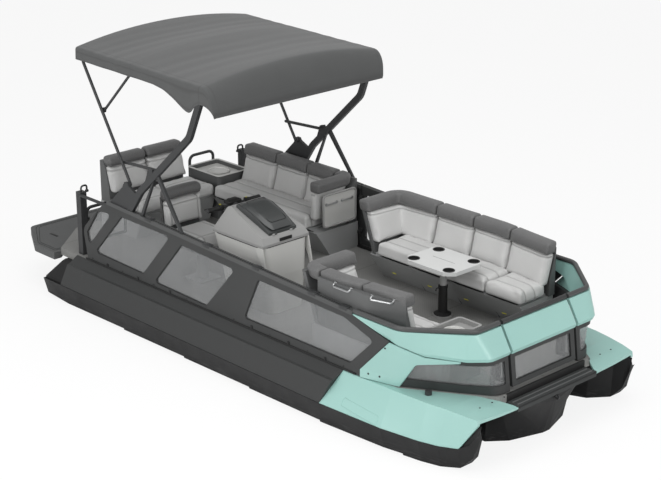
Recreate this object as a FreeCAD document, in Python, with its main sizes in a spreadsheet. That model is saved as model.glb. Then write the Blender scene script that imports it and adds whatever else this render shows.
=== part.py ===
import FreeCAD, Part
import math
import os
import Sketcher

# Pontoon boat with three hulls, fenced deck, sofas, helm and folding sun top.
# Frame: +X to the bow, +Y to port, +Z up, origin under the middle of the hulls at keel level.
# All lengths are in millimetres and all angles in degrees.

doc = FreeCAD.newDocument("pontoon_boat")
sheet = doc.addObject("Spreadsheet::Sheet", "Sizes")

dimensions = {
    # Whole boat
    "half_length": 3000.0, "half_beam": 1220.0, "seam": 0.3, "overrun": 60.0, "run_gap": 6.0,
    # Hulls
    "hull_top": 400.0, "transom_x": -2300.0, "transom_top_x": -2100.0, "transom_knee": 200.0,
    "transom_rise": 25.0, "bow_start_x": 1540.0, "bow_blend": 140.0, "knuckle_height": 187.0,
    "keel_chine": 45.0, "tunnel_outer": 660.0, "tunnel_flare": 25.0, "hull_shoulder": 1095.0,
    "keel_step": 14.0, "keel_step_pitch": 870.0, "keel_step_start_x": -1970.0,
    "middle_half": 500.0, "middle_flare": 35.0, "middle_bow_x": 2450.0,
    "middle_stem_x": 2955.0, "middle_transom_x": -2150.0, "stem_rake": 75.0,
    # Side panels and bow covers
    "panel_thick": 22.0, "panel_edge": 5.0, "panel_aft_x": -2030.0, "panel_aft_slant": 100.0,
    "panel_front_slant": 150.0, "panel_ledge": 1140.0, "panel_ledge_height": 402.0,
    "panel_step": 25.0, "panel_step_drop": 7.0, "cover_nose_low_x": 2861.0,
    "cover_nose_top_x": 2988.0,
    # Deck
    "deck_top": 470.0, "deck_half": 1061.0, "deck_aft_x": -2600.0,
    "deck_side_aft_x": -2215.0, "deck_corner_half": 600.0, "deck_round": 150.0,
    # Bow step
    "step_half": 480.0, "step_top": 412.0, "step_front_x": 2985.0, "step_thick": 45.0,
    # Swim platform
    "platform_top": 440.0, "platform_thick": 70.0, "platform_half": 1140.0,
    "platform_aft_half": 880.0, "platform_chamfer_x": -2540.0, "platform_round": 90.0,
    # Walls
    "wall_thick": 30.0, "wall_outer": 1060.0, "wall_aft_x": -1775.0, "wall_front_x": 1850.0,
    "wall_aft_bulge": 55.0, "wall_knee": 770.0, "wall_shoulder_x": -1480.0,
    "wall_top_aft_x": -1090.0, "wall_top_aft": 1085.0, "wall_top_front": 968.0,
    "wall_foot": 474.0, "wall_round": 60.0, "foot_length": 45.0, "window_round": 28.0,
    "pane_thick": 6.0, "quarter_top_x": 2160.0, "quarter_top": 865.0, "quarter_low": 545.0,
    "quarter_thick": 12.0, "quarter_foot_x": 2195.0, "quarter_mid_x": 2330.0,
    "quarter_mid": 690.0, "quarter_tip_x": 2640.0, "quarter_tip": 748.0, "band_start_x": 1763.0,
    "band_low_x": 2400.0,
    # Rails
    "rail_height": 36.0, "rail_width": 52.0, "rail_slot": 14.0, "rail_slot_depth": 12.0,
    "rail_aft_x": -1430.0, "bow_rail_radius": 20.0, "bow_rail_height": 1000.0,
    "bow_rail_bend_x": 2270.0, "bow_rail_corner_x": 2702.0, "bow_rail_corner_half": 672.0,
    "bow_rail_bend_radius": 160.0, "bow_rail_corner_radius": 90.0,
    # Bow fence
    "fairing_foot": 474.0, "fairing_top": 765.0, "fairing_thick": 34.0, "fence_end": 412.0,
    "fence_post": 42.0, "band_foot": 771.0, "band_bulge": 30.0, "band_thick": 30.0,
    # Bow gate
    "gate_half": 384.0, "gate_gap": 10.0, "gate_foot": 500.0, "gate_foot_x": 2842.0,
    "gate_knee_x": 2806.0, "gate_top_x": 2722.0, "gate_thick": 36.0, "gate_post": 30.0,
    "bow_post_x": 2661.0, "gate_axis_half": 398.0, "knuckle_radius": 7.0, "knuckle_height_step": 30.0,
    # Port gate
    "side_gate_aft_x": -265.0, "side_gate_front_x": 205.0, "side_gate_border": 48.0,
    "side_gate_axis": 1013.0,
    # Stern fittings
    "stern_post_x": -1935.0, "stern_post_half": 990.0, "stern_post_size": 70.0,
    "stern_post_top": 1085.0, "stern_tube": 15.0, "stern_link_height": 1058.0,
    "stern_link_x": -1440.0, "stern_rail_x": -2304.0, "stern_rail_inner": 600.0,
    "stern_rail_outer": 905.0, "stern_rail_top": 1010.0, "stern_gate_x": -1960.0,
    "stern_gate_top": 900.0, "stern_gate_low": 560.0, "stern_gate_outer": -925.0,
    "stern_gate_inner": -480.0,
    # Sun top frame
    "arch_foot_x": -1092.0, "arch_bend_x": -945.0, "arch_bend": 1331.0, "arch_knee_x": -270.0,
    "arch_knee": 1960.0, "arch_top_x": -100.0, "arch_top": 2378.0, "arch_depth": 60.0,
    "arch_width": 38.0, "arch_lean": 50.0, "arch_round": 160.0,
    "gusset_aft_x": -1385.0, "gusset_top_x": -1205.0, "gusset_top": 1310.0, "gusset_width": 26.0,
    "leg_foot_x": -1150.0, "leg_foot": 1345.0, "leg_top_x": -1835.0, "leg_top": 2430.0,
    "leg_radius": 14.0, "leg_half": 998.0, "bow_bend": 120.0, "bow_rise": 62.0,
    "bow_crown_radius": 2600.0, "pivot_radius": 24.0,
    "mid_top_x": -1050.0, "mid_top": 2425.0, "mid_radius": 12.0,
    "link_front_x": -800.0, "link_front": 1545.0, "link_size": 26.0,
    "strut_foot_x": -372.0, "strut_size": 24.0, "brace_foot_x": -925.0,
    # Canopy
    "canopy_half": 1024.5, "canopy_aft_x": -1866.0, "canopy_ridge_x": -105.0,
    "canopy_lip_x": 40.0, "canopy_side_aft": 2470.0, "canopy_side_front": 2432.0,
    "canopy_crown": 98.0, "canopy_valance": 110.0, "canopy_thick": 8.0, "canopy_drop": 105.0,
    # Seats
    "seat_top": 860.0, "seat_thick": 118.0, "seat_front": 455.0, "seat_foot": 655.0,
    "seat_back_top": 1205.0, "seat_outer": 1018.0, "seat_back_low": 820.0,
    "seat_back_high": 915.0, "base_gap": 18.0, "base_recess": 22.0, "seat_round": 35.0,
    "roll_round": 38.0, "aft_sofa_aft_x": -1780.0, "aft_sofa_front_x": -300.0,
    "arm_thick": 118.0, "arm_inner": 487.0,
    "bow_sofa_aft_x": 405.0, "bow_sofa_front_x": 2190.0, "bow_sofa_bend_x": 1560.0,
    "bow_sofa_tip": 455.0, "bow_arm_lean": 172.0, "bow_fence_bend_x": 1860.0,
    "bow_fence_tip": 905.0, "bow_back_tip": 745.0,
    "bench_star": -400.0, "bench_port": 520.0, "bench_front_x": -1795.0,
    "bench_foot_x": -1905.0, "bench_back_x": -2225.0, "bench_aft_x": -2455.0,
    "corner_aft_x": -2285.0, "corner_front_x": -1800.0, "corner_inner": 560.0,
    "corner_outer": 945.0, "corner_top": 915.0, "tray_wall": 22.0, "tray_hollow": 38.0,
    # Starboard bow lounge
    "lounge_aft_x": 1252.0, "pod_aft_x": 2205.0, "pod_front_x": 2460.0,
    "pod_inner": -305.0, "pod_top": 880.0, "pod_tip": -690.0, "pod_outer": -890.0,
    # Helm seat
    "helm_x": -680.0, "helm_y": -575.0, "helm_plate": 250.0, "helm_plate_thick": 10.0,
    "helm_post_radius": 55.0, "helm_post_top": 790.0, "helm_seat_top": 930.0,
    "helm_seat_half": 225.0, "helm_seat_front": 235.0, "helm_seat_aft": 240.0,
    "helm_back_top": 1290.0, "helm_back_lean": 65.0, "helm_back_thick": 100.0,
    # Console
    "console_y": -530.0, "console_aft_x": -255.0, "console_front_x": 400.0,
    "console_half": 265.0, "console_foot_half": 200.0, "console_foot_aft_x": -150.0,
    "console_foot_front_x": 425.0, "console_shoulder": 1080.0, "console_wall": 12.0,
    "hood_rear_x": -85.0, "hood_rear": 1325.0, "hood_front": 1160.0, "hood_half": 240.0,
    "lid_front_x": 360.0, "lid_half": 155.0, "lid_thick": 58.0,
    "lid_eye_half": 100.0, "lid_eye_radius": 7.0, "lid_eye_length": 24.0,
    "bar_reach": 100.0,
    "bar_half": 300.0, "bar_radius": 13.0, "grip_radius": 18.0, "grip_length": 125.0,
    "bar_column_radius": 36.0,
    # Table
    "table_x": 1425.0, "table_y": 345.0, "table_top": 975.0, "table_length": 560.0,
    "table_width": 450.0, "table_thick": 34.0, "table_cut": 75.0, "table_cup_radius": 43.0,
    "table_cup_depth": 22.0, "table_cup_x": 202.0, "table_cup_y": 155.0,
    "table_post_radius": 30.0, "table_sleeve_radius": 38.0, "table_sleeve_top": 690.0,
    "table_flange_radius": 85.0, "table_flange_thick": 12.0,
    # Jet drive
    "jet_height": 150.0, "jet_radius": 95.0, "jet_wall": 9.0, "jet_length": 240.0,
    "impeller_radius": 80.0, "impeller_hub": 30.0, "impeller_length": 70.0, "blade_thick": 6.0,
    "nozzle_length": 120.0, "nozzle_mouth": 55.0, "nozzle_root": 74.0, "nozzle_wall": 8.0,
    "nozzle_boss": 10.0, "shaft_radius": 12.0, "steer_gap": 46.0, "tab_half": 15.0,
    "outlet_root": 50.0, "outlet_mouth": 44.0, "outlet_reach": 54.0, "outlet_wall": 6.0,
    "bucket_half": 95.0, "bucket_thick": 8.0, "bucket_drop": 80.0,
    "engine_length": 620.0, "engine_width": 480.0, "engine_height": 300.0,
    "engine_aft_x": -1750.0, "engine_room_gap": 30.0,
    # Fittings
    "cleat_x": 2440.0, "cleat_y": 905.0, "cleat_radius": 28.0, "cleat_height": 32.0,
    "cleat_sink": 1.4,
    "eye_height": 340.0, "eye_radius": 22.0, "eye_bore": 12.0, "eye_thick": 12.0,
}


class Size:
    """A length with its spreadsheet expression and its value."""

    def __init__(self, text, value):
        self.text = text
        self.value = value

    def joined(self, other, sign, swap=False):
        other = other if isinstance(other, Size) else Size(repr(other), other)
        left, right = (other, self) if swap else (self, other)
        results = {"+": lambda a, b: a + b, "-": lambda a, b: a - b,
                   "*": lambda a, b: a * b, "/": lambda a, b: a / b}
        value = results[sign](left.value, right.value)
        return Size("(%s %s %s)" % (left.text, sign, right.text), value)

    def __add__(self, other):
        return self.joined(other, "+")

    def __radd__(self, other):
        return self.joined(other, "+", True)

    def __sub__(self, other):
        return self.joined(other, "-")

    def __rsub__(self, other):
        return self.joined(other, "-", True)

    def __mul__(self, other):
        return self.joined(other, "*")

    def __rmul__(self, other):
        return self.joined(other, "*", True)

    def __truediv__(self, other):
        return self.joined(other, "/")

    def __neg__(self):
        return self * -1


def hypot(a, b):
    text = "sqrt((%s) ^ 2 + (%s) ^ 2)" % (a.text, b.text)
    return Size(text, math.hypot(a.value, b.value))


def lean_of(across, up):
    """Angle from upright of a line, in degrees."""
    text = "atan2(%s; %s)" % (across.text, up.text)
    return Size(text, math.degrees(math.atan2(across.value, up.value)))


class Sizes:
    """The named cells of the sheet."""

    def __init__(self, values):
        for row, (name, value) in enumerate(values.items(), 1):
            sheet.set("A%d" % row, name)
            sheet.set("B%d" % row, repr(value))
            sheet.setAlias("B%d" % row, name)
            setattr(self, name, Size("Sizes." + name, value))


d = Sizes(dimensions)
doc.recompute()
zero = Size("0", 0.0)
nodes = {}


def value_of(size):
    return size.value if isinstance(size, Size) else float(size)


def bind(thing, name, size):
    if isinstance(size, Size):
        thing.setExpression(name, size.text)
    else:
        setattr(thing, name, size)


def node(name, thing):
    """Give a finished sub-part its label, which names its file."""
    thing.Label = name
    nodes[name] = thing
    return thing


def new_body(name):
    body = doc.addObject("PartDesign::Body", name)
    body.AllowCompound = True
    return body


def plane(body, role):
    return next(item for item in body.Origin.OriginFeatures if item.Role == role)


def corner_arc(before, corner, after, radius):
    """Tangent points and mid point of a rounded corner."""
    to_before = (before - corner).normalize()
    to_after = (after - corner).normalize()
    half = to_before.getAngle(to_after) / 2
    cut = radius / math.tan(half)
    middle = (to_before + to_after).normalize()
    centre = corner + middle * (radius / math.sin(half))
    return corner + to_before * cut, centre - middle * radius, corner + to_after * cut


def draw(sketch, points, closed=True):
    """Lines through the points, with a tangent arc where a point gives a radius."""
    places = [FreeCAD.Vector(value_of(p[0]), value_of(p[1]), 0) for p in points]
    count = len(points)
    rounds = []
    for index, point in enumerate(points):
        inner = closed or 0 < index < count - 1
        if len(point) > 2 and inner:
            before = places[index - 1]
            after = places[(index + 1) % count]
            rounds.append(corner_arc(before, places[index], after, value_of(point[2])))
        else:
            rounds.append(None)
    lines = []
    for index in range(count if closed else count - 1):
        following = (index + 1) % count
        start = rounds[index][2] if rounds[index] else places[index]
        end = rounds[following][0] if rounds[following] else places[following]
        lines.append(sketch.addGeometry(Part.LineSegment(start, end), False))
    rules = []
    texts = {}

    def rule(size, *terms):
        if isinstance(size, Size) and size is not zero:
            texts[len(rules)] = size.text
        rules.append(Sketcher.Constraint(*terms, value_of(size)))

    for index, point in enumerate(points):
        line_in = lines[index - 1] if closed or index > 0 else None
        line_out = lines[index] if closed or index < count - 1 else None
        if rounds[index]:
            arc = Part.Arc(*rounds[index])
            bend = sketch.addGeometry(arc, False)
            turn = (places[index] - rounds[index][0]).cross(rounds[index][2] - places[index])
            near, far = (1, 2) if turn.z > 0 else (2, 1)
            mark = sketch.addGeometry(Part.Point(places[index]), True)
            rule(point[0], "DistanceX", -1, 1, mark, 1)
            rule(point[1], "DistanceY", -1, 1, mark, 1)
            rules.append(Sketcher.Constraint("PointOnObject", mark, 1, line_in))
            rules.append(Sketcher.Constraint("PointOnObject", mark, 1, line_out))
            rules.append(Sketcher.Constraint("Tangent", line_in, 2, bend, near))
            rules.append(Sketcher.Constraint("Tangent", bend, far, line_out, 1))
            rule(point[2], "Radius", bend)
        else:
            if line_in is not None and line_out is not None:
                rules.append(Sketcher.Constraint("Coincident", line_in, 2, line_out, 1))
            held = (line_out, 1) if line_out is not None else (line_in, 2)
            rule(point[0], "DistanceX", -1, 1, *held)
            rule(point[1], "DistanceY", -1, 1, *held)
    sketch.addConstraint(rules)
    for index, text in texts.items():
        sketch.setExpression("Constraints[%d]" % index, text)


def outline(body, role, points, offset=None, closed=True):
    """A sketch on an origin plane of the body, moved along its normal by offset."""
    sketch = body.newObject("Sketcher::SketchObject", "Outline")
    sketch.AttachmentSupport = [(plane(body, role), "")]
    sketch.MapMode = "FlatFace"
    if offset is not None:
        bind(sketch, "AttachmentOffset.Base.z", offset)
    draw(sketch, points, closed)
    return sketch


def disc(body, role, centre, radius, offset=None):
    sketch = body.newObject("Sketcher::SketchObject", "Disc")
    sketch.AttachmentSupport = [(plane(body, role), "")]
    sketch.MapMode = "FlatFace"
    if offset is not None:
        bind(sketch, "AttachmentOffset.Base.z", offset)
    place = FreeCAD.Vector(value_of(centre[0]), value_of(centre[1]), 0)
    ring = sketch.addGeometry(Part.Circle(place, FreeCAD.Vector(0, 0, 1), value_of(radius)), False)
    sizes = (centre[0], centre[1], radius)
    sketch.addConstraint([
        Sketcher.Constraint("DistanceX", -1, 1, ring, 3, value_of(sizes[0])),
        Sketcher.Constraint("DistanceY", -1, 1, ring, 3, value_of(sizes[1])),
        Sketcher.Constraint("Radius", ring, value_of(sizes[2]))])
    for index, size in enumerate(sizes):
        if isinstance(size, Size) and size is not zero:
            sketch.setExpression("Constraints[%d]" % index, size.text)
    return sketch


def pad(body, sketch, length, both=False, back=False):
    feature = body.newObject("PartDesign::Pad", "Pad")
    feature.Profile = sketch
    bind(feature, "Length", length)
    feature.SideType = "Symmetric" if both else "One side"
    feature.Reversed = back
    return feature


def pocket(body, sketch, depth=None, back=False):
    """Cut through everything both ways, or to a depth one way."""
    feature = body.newObject("PartDesign::Pocket", "Pocket")
    feature.Profile = sketch
    if depth is None:
        feature.Type = "ThroughAll"
        feature.SideType = "Symmetric"
    else:
        bind(feature, "Length", depth)
        feature.Reversed = back
    return feature


def loft(body, sketches, ruled=True):
    feature = body.newObject("PartDesign::AdditiveLoft", "Loft")
    feature.Profile = sketches[0]
    feature.Sections = sketches[1:]
    feature.Ruled = ruled
    return feature


def tube(body, role, points, radius, offset=None):
    """A round tube along an open outline."""
    path = outline(body, role, points, offset, closed=False)
    ring = body.newObject("Sketcher::SketchObject", "Ring")
    ring.AttachmentSupport = [(path, "Edge1")]
    ring.MapMode = "NormalToEdge"
    ring.MapPathParameter = 0.0
    ring.addGeometry(Part.Circle(FreeCAD.Vector(0, 0, 0), FreeCAD.Vector(0, 0, 1), value_of(radius)), False)
    ring.addConstraint([Sketcher.Constraint("Coincident", 0, 3, -1, 1),
                        Sketcher.Constraint("Radius", 0, value_of(radius))])
    ring.setExpression("Constraints[1]", radius.text)
    feature = body.newObject("PartDesign::AdditivePipe", "Pipe")
    feature.Profile = ring
    feature.Spine = (path, [])
    return feature


def mirrored(source, name):
    """The same piece on the other side of the boat's middle plane."""
    copy = doc.addObject("Part::Mirroring", name)
    copy.Source = source
    copy.Normal = FreeCAD.Vector(0, 1, 0)
    return copy


def together(name, pieces):
    """Like pieces on one body as one node."""
    group = doc.addObject("Part::Compound", name)
    group.Links = pieces
    return node(name, group)


def both_sides(name, body):
    return together(name, [body, mirrored(body, name + "_other")])


# Hulls
# One row for each station of the bow. Shares of the bow's length, then of the half beam for the
# knuckle, the ridge, the cover's inner edge and the keel's inner edge, then of the hull's top for
# the keel's rise, and of the deck's height for the ridge and for the cover's inner edge.
bow_station_shares = [
    (0.00, 1.000, 0.8740, 0.8699, 0.541, 0.00, 0.985, 0.999),
    (0.45, 0.972, 0.862, 0.807, 0.541, 0.00, 0.999, 0.995),
    (0.69, 0.927, 0.843, 0.617, 0.541, 0.00, 0.999, 0.990),
    (0.80, 0.890, 0.820, 0.531, 0.598, 0.00, 0.995, 0.985),
    (0.905, 0.845, 0.799, 0.447, 0.697, 0.06, 0.975, 0.930),
    (0.965, 0.815, 0.783, 0.400, 0.725, 0.30, 0.955, 0.880),
    (1.00, 0.794, 0.770, 0.3945, 0.742, 0.70, 0.945, 0.862)]
deck_last_station = 4


def bow_x(share):
    return d.bow_start_x + (d.half_length - d.bow_start_x) * share


def cut_side(body, points):
    """Cut an outline seen from the side through the whole piece."""
    return pocket(body, outline(body, "XZ_Plane", points))


def sponson():
    body = new_body("Sponson")
    edge = d.half_beam - d.panel_thick - d.panel_edge - d.seam
    ledge = d.panel_ledge - d.panel_thick - d.seam
    ledge_height = d.panel_ledge_height - d.panel_thick
    sections = []
    aft = d.bow_start_x - d.bow_blend
    for x, rise in ((d.transom_x, d.transom_rise), (d.keel_step_start_x, zero), (aft, zero)):
        sections.append(outline(body, "YZ_Plane", [
            (d.tunnel_outer, rise), (d.half_beam - d.keel_chine, rise),
            (d.half_beam, d.knuckle_height), (edge, d.knuckle_height), (ledge, ledge_height),
            (d.hull_shoulder, d.hull_top), (d.tunnel_outer + d.tunnel_flare, d.hull_top)], x))
    for along, outer, ridge, _, inner, low, _, _ in bow_station_shares:
        knuckle = d.half_beam * outer
        under = d.half_beam * ridge - d.panel_thick - d.seam
        keel = d.hull_top * low
        corner = d.knuckle_height + keel * 0.5
        sections.append(outline(body, "YZ_Plane", [
            (d.half_beam * inner, keel), (knuckle - d.keel_chine, keel), (knuckle, corner),
            (knuckle - d.panel_thick - d.panel_edge - d.seam, corner),
            (under + d.panel_edge, d.hull_top - d.panel_thick),
            (under, d.hull_top - d.panel_edge),
            (d.half_beam * inner + d.tunnel_flare, d.hull_top - d.panel_edge)], bow_x(along)))
    loft(body, sections)
    cut_side(body, [(d.transom_x - d.overrun, d.transom_knee), (d.transom_x, d.transom_knee),
                    (d.transom_top_x, d.hull_top), (d.transom_top_x, d.hull_top + d.overrun),
                    (d.transom_x - d.overrun, d.hull_top + d.overrun)])
    start = d.keel_step_start_x
    step = cut_side(body, [(start, -d.overrun), (start + d.keel_step_pitch, -d.overrun),
                           (start + d.keel_step_pitch, d.keel_step), (start, zero)])
    repeat = body.newObject("PartDesign::LinearPattern", "Steps")
    repeat.Originals = [step]
    repeat.Direction = (plane(body, "X_Axis"), [""])
    repeat.Length = d.keel_step_pitch.value * 4
    repeat.setExpression("Length", (d.keel_step_pitch * 4).text)
    repeat.Occurrences = 5
    body.Tip = repeat
    return body


def middle_hull():
    body = new_body("MiddleHull")
    half = d.middle_half
    top = d.hull_top
    flare = d.middle_flare
    reach = d.middle_stem_x - d.middle_bow_x
    # Shares of the bow's reach, of the half width at the keel and at the top, and of the rise.
    stem_shares = [(0.0, 1.0, 1.0, 0.0), (0.42, 0.96, 1.02, 0.0), (0.66, 0.66, 1.02, 0.0),
                   (0.86, 0.08, 0.97, 0.02), (1.0, 0.03, 0.92, 0.74)]
    sections = []
    for x, rise in ((d.middle_transom_x, d.transom_rise), (d.keel_step_start_x, zero)):
        sections.append(outline(body, "YZ_Plane", [
            (-half, rise), (half, rise), (half - flare, top), (flare - half, top)], x))
    for along, low, high, rise in stem_shares:
        foot = half * low
        head = (half - flare) * high
        lift = top * rise
        sections.append(outline(body, "YZ_Plane", [
            (-foot, lift), (foot, lift), (head, top), (-head, top)], d.middle_bow_x + reach * along))
    loft(body, sections)
    room = d.engine_room_gap
    pocket(body, outline(body, "XY_Plane", [
        (d.engine_aft_x - room, -d.engine_width / 2 - room),
        (d.engine_aft_x + d.engine_length + room, -d.engine_width / 2 - room),
        (d.engine_aft_x + d.engine_length + room, d.engine_width / 2 + room),
        (d.engine_aft_x - room, d.engine_width / 2 + room)], d.hull_top),
        d.engine_height + room)
    return body


def side_panel():
    body = new_body("SidePanel")
    low = d.knuckle_height + d.seam
    outer_foot = d.half_beam - d.panel_edge
    step_out = d.panel_ledge + d.panel_step
    length = d.bow_start_x + d.panel_front_slant - d.panel_aft_x
    pad(body, outline(body, "YZ_Plane", [
        (outer_foot, low), (step_out, d.panel_ledge_height - d.panel_step_drop),
        (d.panel_ledge, d.panel_ledge_height), (d.deck_half + d.seam, d.deck_top),
        (d.deck_half + d.seam, d.deck_top - d.panel_thick),
        (d.panel_ledge - d.panel_thick, d.panel_ledge_height - d.panel_thick + d.seam),
        (outer_foot - d.panel_thick, low)], d.panel_aft_x), length)
    high = d.deck_top + d.overrun
    base = d.knuckle_height
    slope = d.panel_front_slant
    cut_side(body, [(d.bow_start_x - d.seam, base), (d.bow_start_x + slope - d.seam, high),
                    (d.bow_start_x + slope + d.overrun, high),
                    (d.bow_start_x + slope + d.overrun, base)])
    cut_side(body, [(d.panel_aft_x, base), (d.panel_aft_x + d.panel_aft_slant, high),
                    (d.panel_aft_x - d.overrun, high), (d.panel_aft_x - d.overrun, base)])
    return body


def bow_cover():
    body = new_body("BowCover")
    thick = d.panel_thick
    sections = []
    for along, outer, ridge, inner, _, low, ridge_rise, inner_rise in bow_station_shares:
        knuckle = d.half_beam * outer - d.panel_edge
        base = d.knuckle_height + d.hull_top * low * 0.5 + d.seam
        high = d.half_beam * ridge
        edge = d.half_beam * inner
        ridge_z = d.deck_top * ridge_rise
        edge_z = d.deck_top * inner_rise
        under = high - thick
        if under.value < edge.value:
            under = (high + edge) / 2
        sections.append(outline(body, "YZ_Plane", [
            (knuckle, base), (high, ridge_z), (edge, edge_z), (edge, edge_z - thick),
            (under, ridge_z - thick * 1.3), (knuckle - thick + d.panel_edge, base)],
            bow_x(along)))
    loft(body, sections)
    base = d.knuckle_height
    high = d.deck_top + d.overrun
    cut_side(body, [(d.bow_start_x + d.seam, base), (d.bow_start_x + d.panel_front_slant + d.seam, high),
                    (d.bow_start_x - d.overrun, high), (d.bow_start_x - d.overrun, base)])
    cut_side(body, [(d.cover_nose_low_x, base - d.overrun), (d.cover_nose_low_x, base),
                    (d.cover_nose_top_x, d.hull_top),
                    (d.cover_nose_top_x, high), (d.half_length + d.overrun, high),
                    (d.half_length + d.overrun, base - d.overrun)])
    return body


def deck_edge(side):
    """The deck's outline at the bow, following the covers' inner edges."""
    rows = bow_station_shares[:deck_last_station + 1]
    return [(bow_x(row[0]), (d.half_beam * row[3] - d.seam) * side) for row in rows]


def deck():
    body = new_body("Deck")
    aft = [(d.deck_side_aft_x, d.deck_half), (d.deck_aft_x, d.deck_corner_half, d.deck_round),
           (d.deck_aft_x, -d.deck_corner_half, d.deck_round), (d.deck_side_aft_x, -d.deck_half)]
    points = aft + deck_edge(-1) + list(reversed(deck_edge(1)))
    pad(body, outline(body, "XY_Plane", points, d.hull_top), d.deck_top - d.hull_top)
    return body


def bow_step():
    body = new_body("BowStep")
    start = bow_x(bow_station_shares[deck_last_station][0]) + d.seam
    low = d.step_top - d.step_thick
    stem = d.hull_top + d.seam
    pad(body, outline(body, "XZ_Plane", [
        (start, stem), (start, d.step_top), (d.step_front_x, d.step_top),
        (d.step_front_x, low), (d.middle_stem_x + d.seam, low), (d.middle_stem_x + d.seam, stem)]),
        d.step_half * 2, both=True)
    return body


def swim_platform():
    body = new_body("SwimPlatform")
    gap = d.seam
    slope = [(d.deck_side_aft_x - gap, d.deck_half), (d.deck_aft_x - gap, d.deck_corner_half, d.deck_round),
             (d.deck_aft_x - gap, -d.deck_corner_half, d.deck_round), (d.deck_side_aft_x - gap, -d.deck_half)]
    points = slope + [
        (d.deck_side_aft_x - gap, -d.platform_half),
        (d.platform_chamfer_x, -d.platform_half, d.platform_round),
        (-d.half_length, -d.platform_aft_half, d.platform_round),
        (-d.half_length, d.platform_aft_half, d.platform_round),
        (d.platform_chamfer_x, d.platform_half, d.platform_round), (d.deck_side_aft_x - gap, d.platform_half)]
    pad(body, outline(body, "XY_Plane", points, d.platform_top - d.platform_thick), d.platform_thick)
    return body


# Side walls
# Corners of the windows, as shares of the wall's length and of its height.
window_corner_shares = [
    [(0.048, 0.850), (0.103, 0.900), (0.0076, 0.240), (0.001, 0.450)],
    [(0.1385, 0.903), (0.318, 0.892), (0.213, 0.139), (0.0287, 0.164)],
    [(0.357, 0.836), (0.5395, 0.784), (0.438, 0.0589), (0.2536, 0.085)],
    [(0.6137, 0.771), (0.873, 0.738), (0.959, 0.56), (0.8917, 0.126), (0.566, 0.123)]]


def wall_top_at(x):
    """Height of the wall's sloping top edge at a place along the boat."""
    fall = (d.wall_top_front - d.wall_top_aft) / (d.band_start_x - d.wall_top_aft_x)
    return d.wall_top_aft + fall * (x - d.wall_top_aft_x)


def rail_top_at(x):
    return wall_top_at(x) + d.rail_height


def window_points(index):
    length = d.quarter_top_x - d.wall_aft_x
    height = d.wall_top_aft - d.wall_foot
    return [(d.wall_aft_x + length * x, d.wall_foot + height * z, d.window_round)
            for x, z in window_corner_shares[index]]


def side_gate_hole(body, offset):
    low = d.wall_foot - d.overrun
    high = d.wall_top_aft + d.rail_height + d.overrun
    aft = d.side_gate_aft_x - d.gate_gap
    front = d.side_gate_front_x + d.gate_gap
    return pocket(body, outline(body, "XZ_Plane", [(aft, low), (front, low), (front, high), (aft, high)],
                                offset))


def wall(windows, gated):
    body = new_body("Wall")
    pad(body, outline(body, "XZ_Plane", [
        (d.wall_aft_x, d.wall_foot), (d.wall_front_x, d.wall_foot), (d.wall_front_x, d.quarter_low),
        (d.quarter_top_x, d.quarter_top), (d.band_start_x, d.wall_top_front),
        (d.wall_shoulder_x, wall_top_at(d.wall_shoulder_x), d.wall_round * 2),
        (d.wall_aft_x - d.wall_aft_bulge, d.wall_knee, d.wall_round * 2)], -d.wall_outer), d.wall_thick)
    for index in windows:
        pocket(body, outline(body, "XZ_Plane", window_points(index), -d.wall_outer))
    for share in foot_shares:
        x = d.wall_aft_x + (d.bow_start_x - d.wall_aft_x) * share
        pad(body, outline(body, "XZ_Plane", [
            (x, d.deck_top), (x + d.foot_length, d.deck_top), (x + d.foot_length, d.wall_foot),
            (x, d.wall_foot)], -d.wall_outer), d.wall_thick)
    if gated:
        side_gate_hole(body, -d.wall_outer)
        side_knuckles(body, -1)
    return body


def side_knuckles(body, side):
    """Hinge eyes inside the wall at the port gate, on the wall or on the leaf."""
    axis_x = d.side_gate_aft_x - d.gate_gap / 2
    near = axis_x + d.gate_gap / 2 * side
    far = axis_x + d.gate_post * side
    low_x, high_x = (far, near) if side < 0 else (near, far)
    axis_y = d.side_gate_axis
    step = d.knuckle_height_step
    for height in (d.quarter_low + d.wall_round, wall_top_at(d.side_gate_aft_x) - d.wall_round * 2):
        low = height if side < 0 else height + step + d.seam
        pad(body, disc(body, "XY_Plane", (axis_x, axis_y), d.knuckle_radius, low), step)
        pad(body, outline(body, "XY_Plane", [
            (low_x, axis_y - d.knuckle_radius / 2), (high_x, axis_y - d.knuckle_radius / 2),
            (high_x, d.wall_outer - d.wall_thick / 2), (low_x, d.wall_outer - d.wall_thick / 2)], low), step)


# Places of the wall's feet as shares of its straight length.
foot_shares = (0.05, 0.29, 0.40, 0.66, 0.90)


def panes():
    pieces = []
    for index in range(len(window_corner_shares)):
        body = new_body("Pane")
        pad(body, outline(body, "XZ_Plane", window_points(index),
                          -d.wall_outer + d.wall_thick / 2 - d.pane_thick / 2), d.pane_thick)
        pieces.append(mirrored(body, "PaneOther"))
        if index != gate_window:
            pieces.append(body)
    return pieces


gate_window = 2


def side_rail(gated):
    """The twin bar on top of a wall, with its slot."""
    body = new_body("SideRail")
    aft = d.rail_aft_x
    front = d.band_start_x
    middle = d.wall_outer - d.wall_thick / 2
    pad(body, outline(body, "XZ_Plane", [
        (aft, wall_top_at(aft)), (front, wall_top_at(front)), (front, rail_top_at(front)),
        (aft, rail_top_at(aft))], -middle), d.rail_width, both=True)
    high = d.rail_slot_depth
    slot = pocket(body, outline(body, "XZ_Plane", [
        (aft + d.rail_width, rail_top_at(aft + d.rail_width) - high),
        (front - d.rail_width, rail_top_at(front - d.rail_width) - high),
        (front - d.rail_width, rail_top_at(front - d.rail_width) + high),
        (aft + d.rail_width, rail_top_at(aft + d.rail_width) + high)], -middle), d.rail_slot)
    slot.SideType = "Symmetric"
    if gated:
        side_gate_hole(body, -middle)
    return body


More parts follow.
